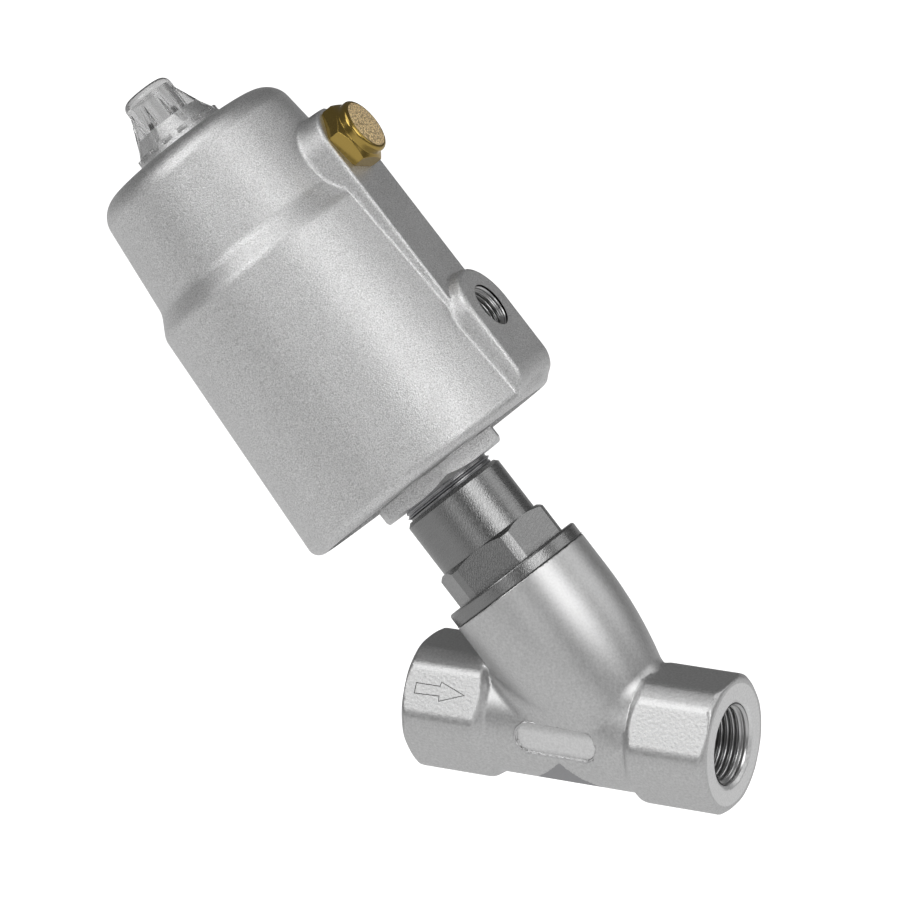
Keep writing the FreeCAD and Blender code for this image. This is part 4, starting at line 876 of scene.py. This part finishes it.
class VALVE_OT_engraving(bpy.types.Operator):
    """Draws the engraved flow arrow on the near flat of the inlet socket"""
    bl_idname = "valve.engraving"
    bl_label = "Flow arrow"

    def execute(self, context):
        """A flat ribbon follows the closed outline of the arrow, half its width to each side, with
        mitred corners, just over the flat."""
        corners = np.array(ARROW)
        before = corners - np.roll(corners, 1, axis=0)
        after = np.roll(corners, -1, axis=0) - corners
        before /= np.linalg.norm(before, axis=1)[:, None]
        after /= np.linalg.norm(after, axis=1)[:, None]
        normal = np.stack((-before[:, 1], before[:, 0]), axis=1) + np.stack((-after[:, 1], after[:, 0]), axis=1)
        normal /= np.maximum(np.sum(normal ** 2, axis=1), MITRE_LEAST)[:, None] / 2
        rings = np.stack((corners - normal * LINE_HALF, corners + normal * LINE_HALF))
        spots = MM * (rings[..., :1] * np.array((1.0, 0.0, 0.0)) + rings[..., 1:] * FLAT_UP
                      + (SOCKET_HALF + HAIR) * FLAT_OUT)
        add_piece("flow_arrow", spots, grid_faces(2, len(corners), wrap_columns=True), VALVE,
                  "gasket", smooth=False)
        return {"FINISHED"}


# The photograph's camera: where it aims, how far off it stands, and where its aim falls in the picture.
AIM = Vector((20 * MM, 0.0, 45 * MM))
AZIMUTH, ELEVATION, ROLL = math.radians(28.492), math.radians(21.553), math.radians(-3.185)
DISTANCE = 1051.14 * MM
FOCAL_PIXELS, PICTURE = 5183.3, 900
AIM_PIXEL = (506.5, 506.6)
SENSOR, FARTHEST = 36.0, 20.0
FLOOR_HALF, FLOOR_GLOW, WORLD_GLOW = 6.0, 0.4, 0.16
# Each soft light's name, place and size in metres, and its share of the main power.
LIGHTS = (
    ("left", (-0.5, -0.92, 0.93), 0.6, 1.05),
    ("right", (0.95, -0.36, 0.85), 0.75, 1.25),
    ("back", (0.85, 0.72, 0.72), 0.7, 0.45),
    ("top", (-0.18, -0.3, 1.28), 0.7, 0.75),
    ("front", (0.3, -1.3, 0.38), 0.6, 0.3),
)


def soft_light(name, place, size, power):
    """A square soft light at a place, pointing at the valve."""
    data = bpy.data.lights.new(name, "AREA")
    data.size = size
    data.energy = power
    light = bpy.data.objects.new(name, data)
    light.location = Vector(place)
    light.rotation_euler = (AIM - light.location).to_track_quat("-Z", "Y").to_euler()
    bpy.context.scene.collection.objects.link(light)


class VALVE_OT_stage(bpy.types.Operator):
    """Sets up the pale floor, the soft lights and the camera at the photograph's angle"""
    bl_idname = "valve.stage"
    bl_label = "Studio"

    def execute(self, context):
        scene = context.scene
        floor_height = CAD_BOX[0][2] - looks().floor_drop
        outline = ((-1, -1), (1, -1), (1, 1), (-1, 1))
        corners = [(x * FLOOR_HALF, y * FLOOR_HALF, floor_height) for x, y in outline]
        mesh = bpy.data.meshes.new("floor")
        mesh.from_pydata(corners, [], [(0, 1, 2, 3)])
        floor = bpy.data.objects.new("floor", mesh)
        glow = plain("studio_floor", (0.5, 0.5, 0.5), 0.9, Emission_Color=(1.0, 1.0, 1.0, 1.0))
        seen = add_node(glow, "ShaderNodeLightPath", []).outputs["Is Camera Ray"]
        into_shader(glow, Emission_Strength=spread(glow, seen, 0.0, 1.0, FLOOR_GLOW, 1.0))
        floor.data.materials.append(glow)
        scene.collection.objects.link(floor)
        world = bpy.data.worlds.new("studio")
        scene.world = world
        world.use_nodes = True
        background = world.node_tree.nodes["Background"].inputs
        background["Color"].default_value = (1.0, 1.0, 1.0, 1.0)
        background["Strength"].default_value = WORLD_GLOW
        scene.view_settings.view_transform = "Standard"
        for name, place, size, share in LIGHTS:
            soft_light(name, place, size, looks().light_power * share)
        lying = math.cos(ELEVATION)
        toward = Vector((math.sin(AZIMUTH) * lying, -math.cos(AZIMUTH) * lying, math.sin(ELEVATION)))
        level = Vector((math.cos(AZIMUTH), math.sin(AZIMUTH), 0.0))
        upright = level.cross(-toward)
        right = level * math.cos(ROLL) + upright * math.sin(ROLL)
        high = upright * math.cos(ROLL) - level * math.sin(ROLL)
        aside, below = ((pixel - PICTURE / 2) / FOCAL_PIXELS for pixel in AIM_PIXEL)
        back = toward + right * aside - high * below
        back.normalize()
        right = (right - back * right.dot(back)).normalized()
        data = bpy.data.cameras.new("camera")
        data.sensor_width = SENSOR
        data.lens = SENSOR * FOCAL_PIXELS / PICTURE
        data.clip_end = FARTHEST
        camera = bpy.data.objects.new("camera", data)
        turn = Matrix((right, back.cross(right), back)).transposed().to_4x4()
        camera.matrix_world = Matrix.Translation(AIM + toward * DISTANCE) @ turn
        scene.collection.objects.link(camera)
        scene.camera = camera
        return {"FINISHED"}


class VALVE_PT_panel(bpy.types.Panel):
    """Lists the steps and the looks"""
    bl_idname = "VALVE_PT_panel"
    bl_label = "Valve looks"
    bl_space_type = "VIEW_3D"
    bl_region_type = "UI"
    bl_category = "Valve"

    def draw(self, context):
        column = self.layout.column()
        for label in ValveLooks.__annotations__:
            column.prop(context.scene.valve_looks, label)
        for step in STEPS:
            column.operator(step.bl_idname)


STEPS = (VALVE_OT_dress, VALVE_OT_casting, VALVE_OT_body, VALVE_OT_joints, VALVE_OT_threads,
         VALVE_OT_spring, VALVE_OT_silencer, VALVE_OT_engraving, VALVE_OT_stage)
CLASSES = (ValveLooks,) + STEPS + (VALVE_PT_panel,)


def register():
    for item in CLASSES:
        bpy.utils.register_class(item)
    bpy.types.Scene.valve_looks = PointerProperty(type=ValveLooks)


def unregister():
    del bpy.types.Scene.valve_looks
    for item in reversed(CLASSES):
        bpy.utils.unregister_class(item)


def main():
    register()
    bpy.ops.valve.dress()
    bpy.ops.valve.casting()
    bpy.ops.valve.body()
    bpy.ops.valve.joints()
    bpy.ops.valve.threads()
    bpy.ops.valve.spring()
    bpy.ops.valve.silencer()
    bpy.ops.valve.engraving()
    bpy.ops.valve.stage()


if __name__ == "__main__":
    main()
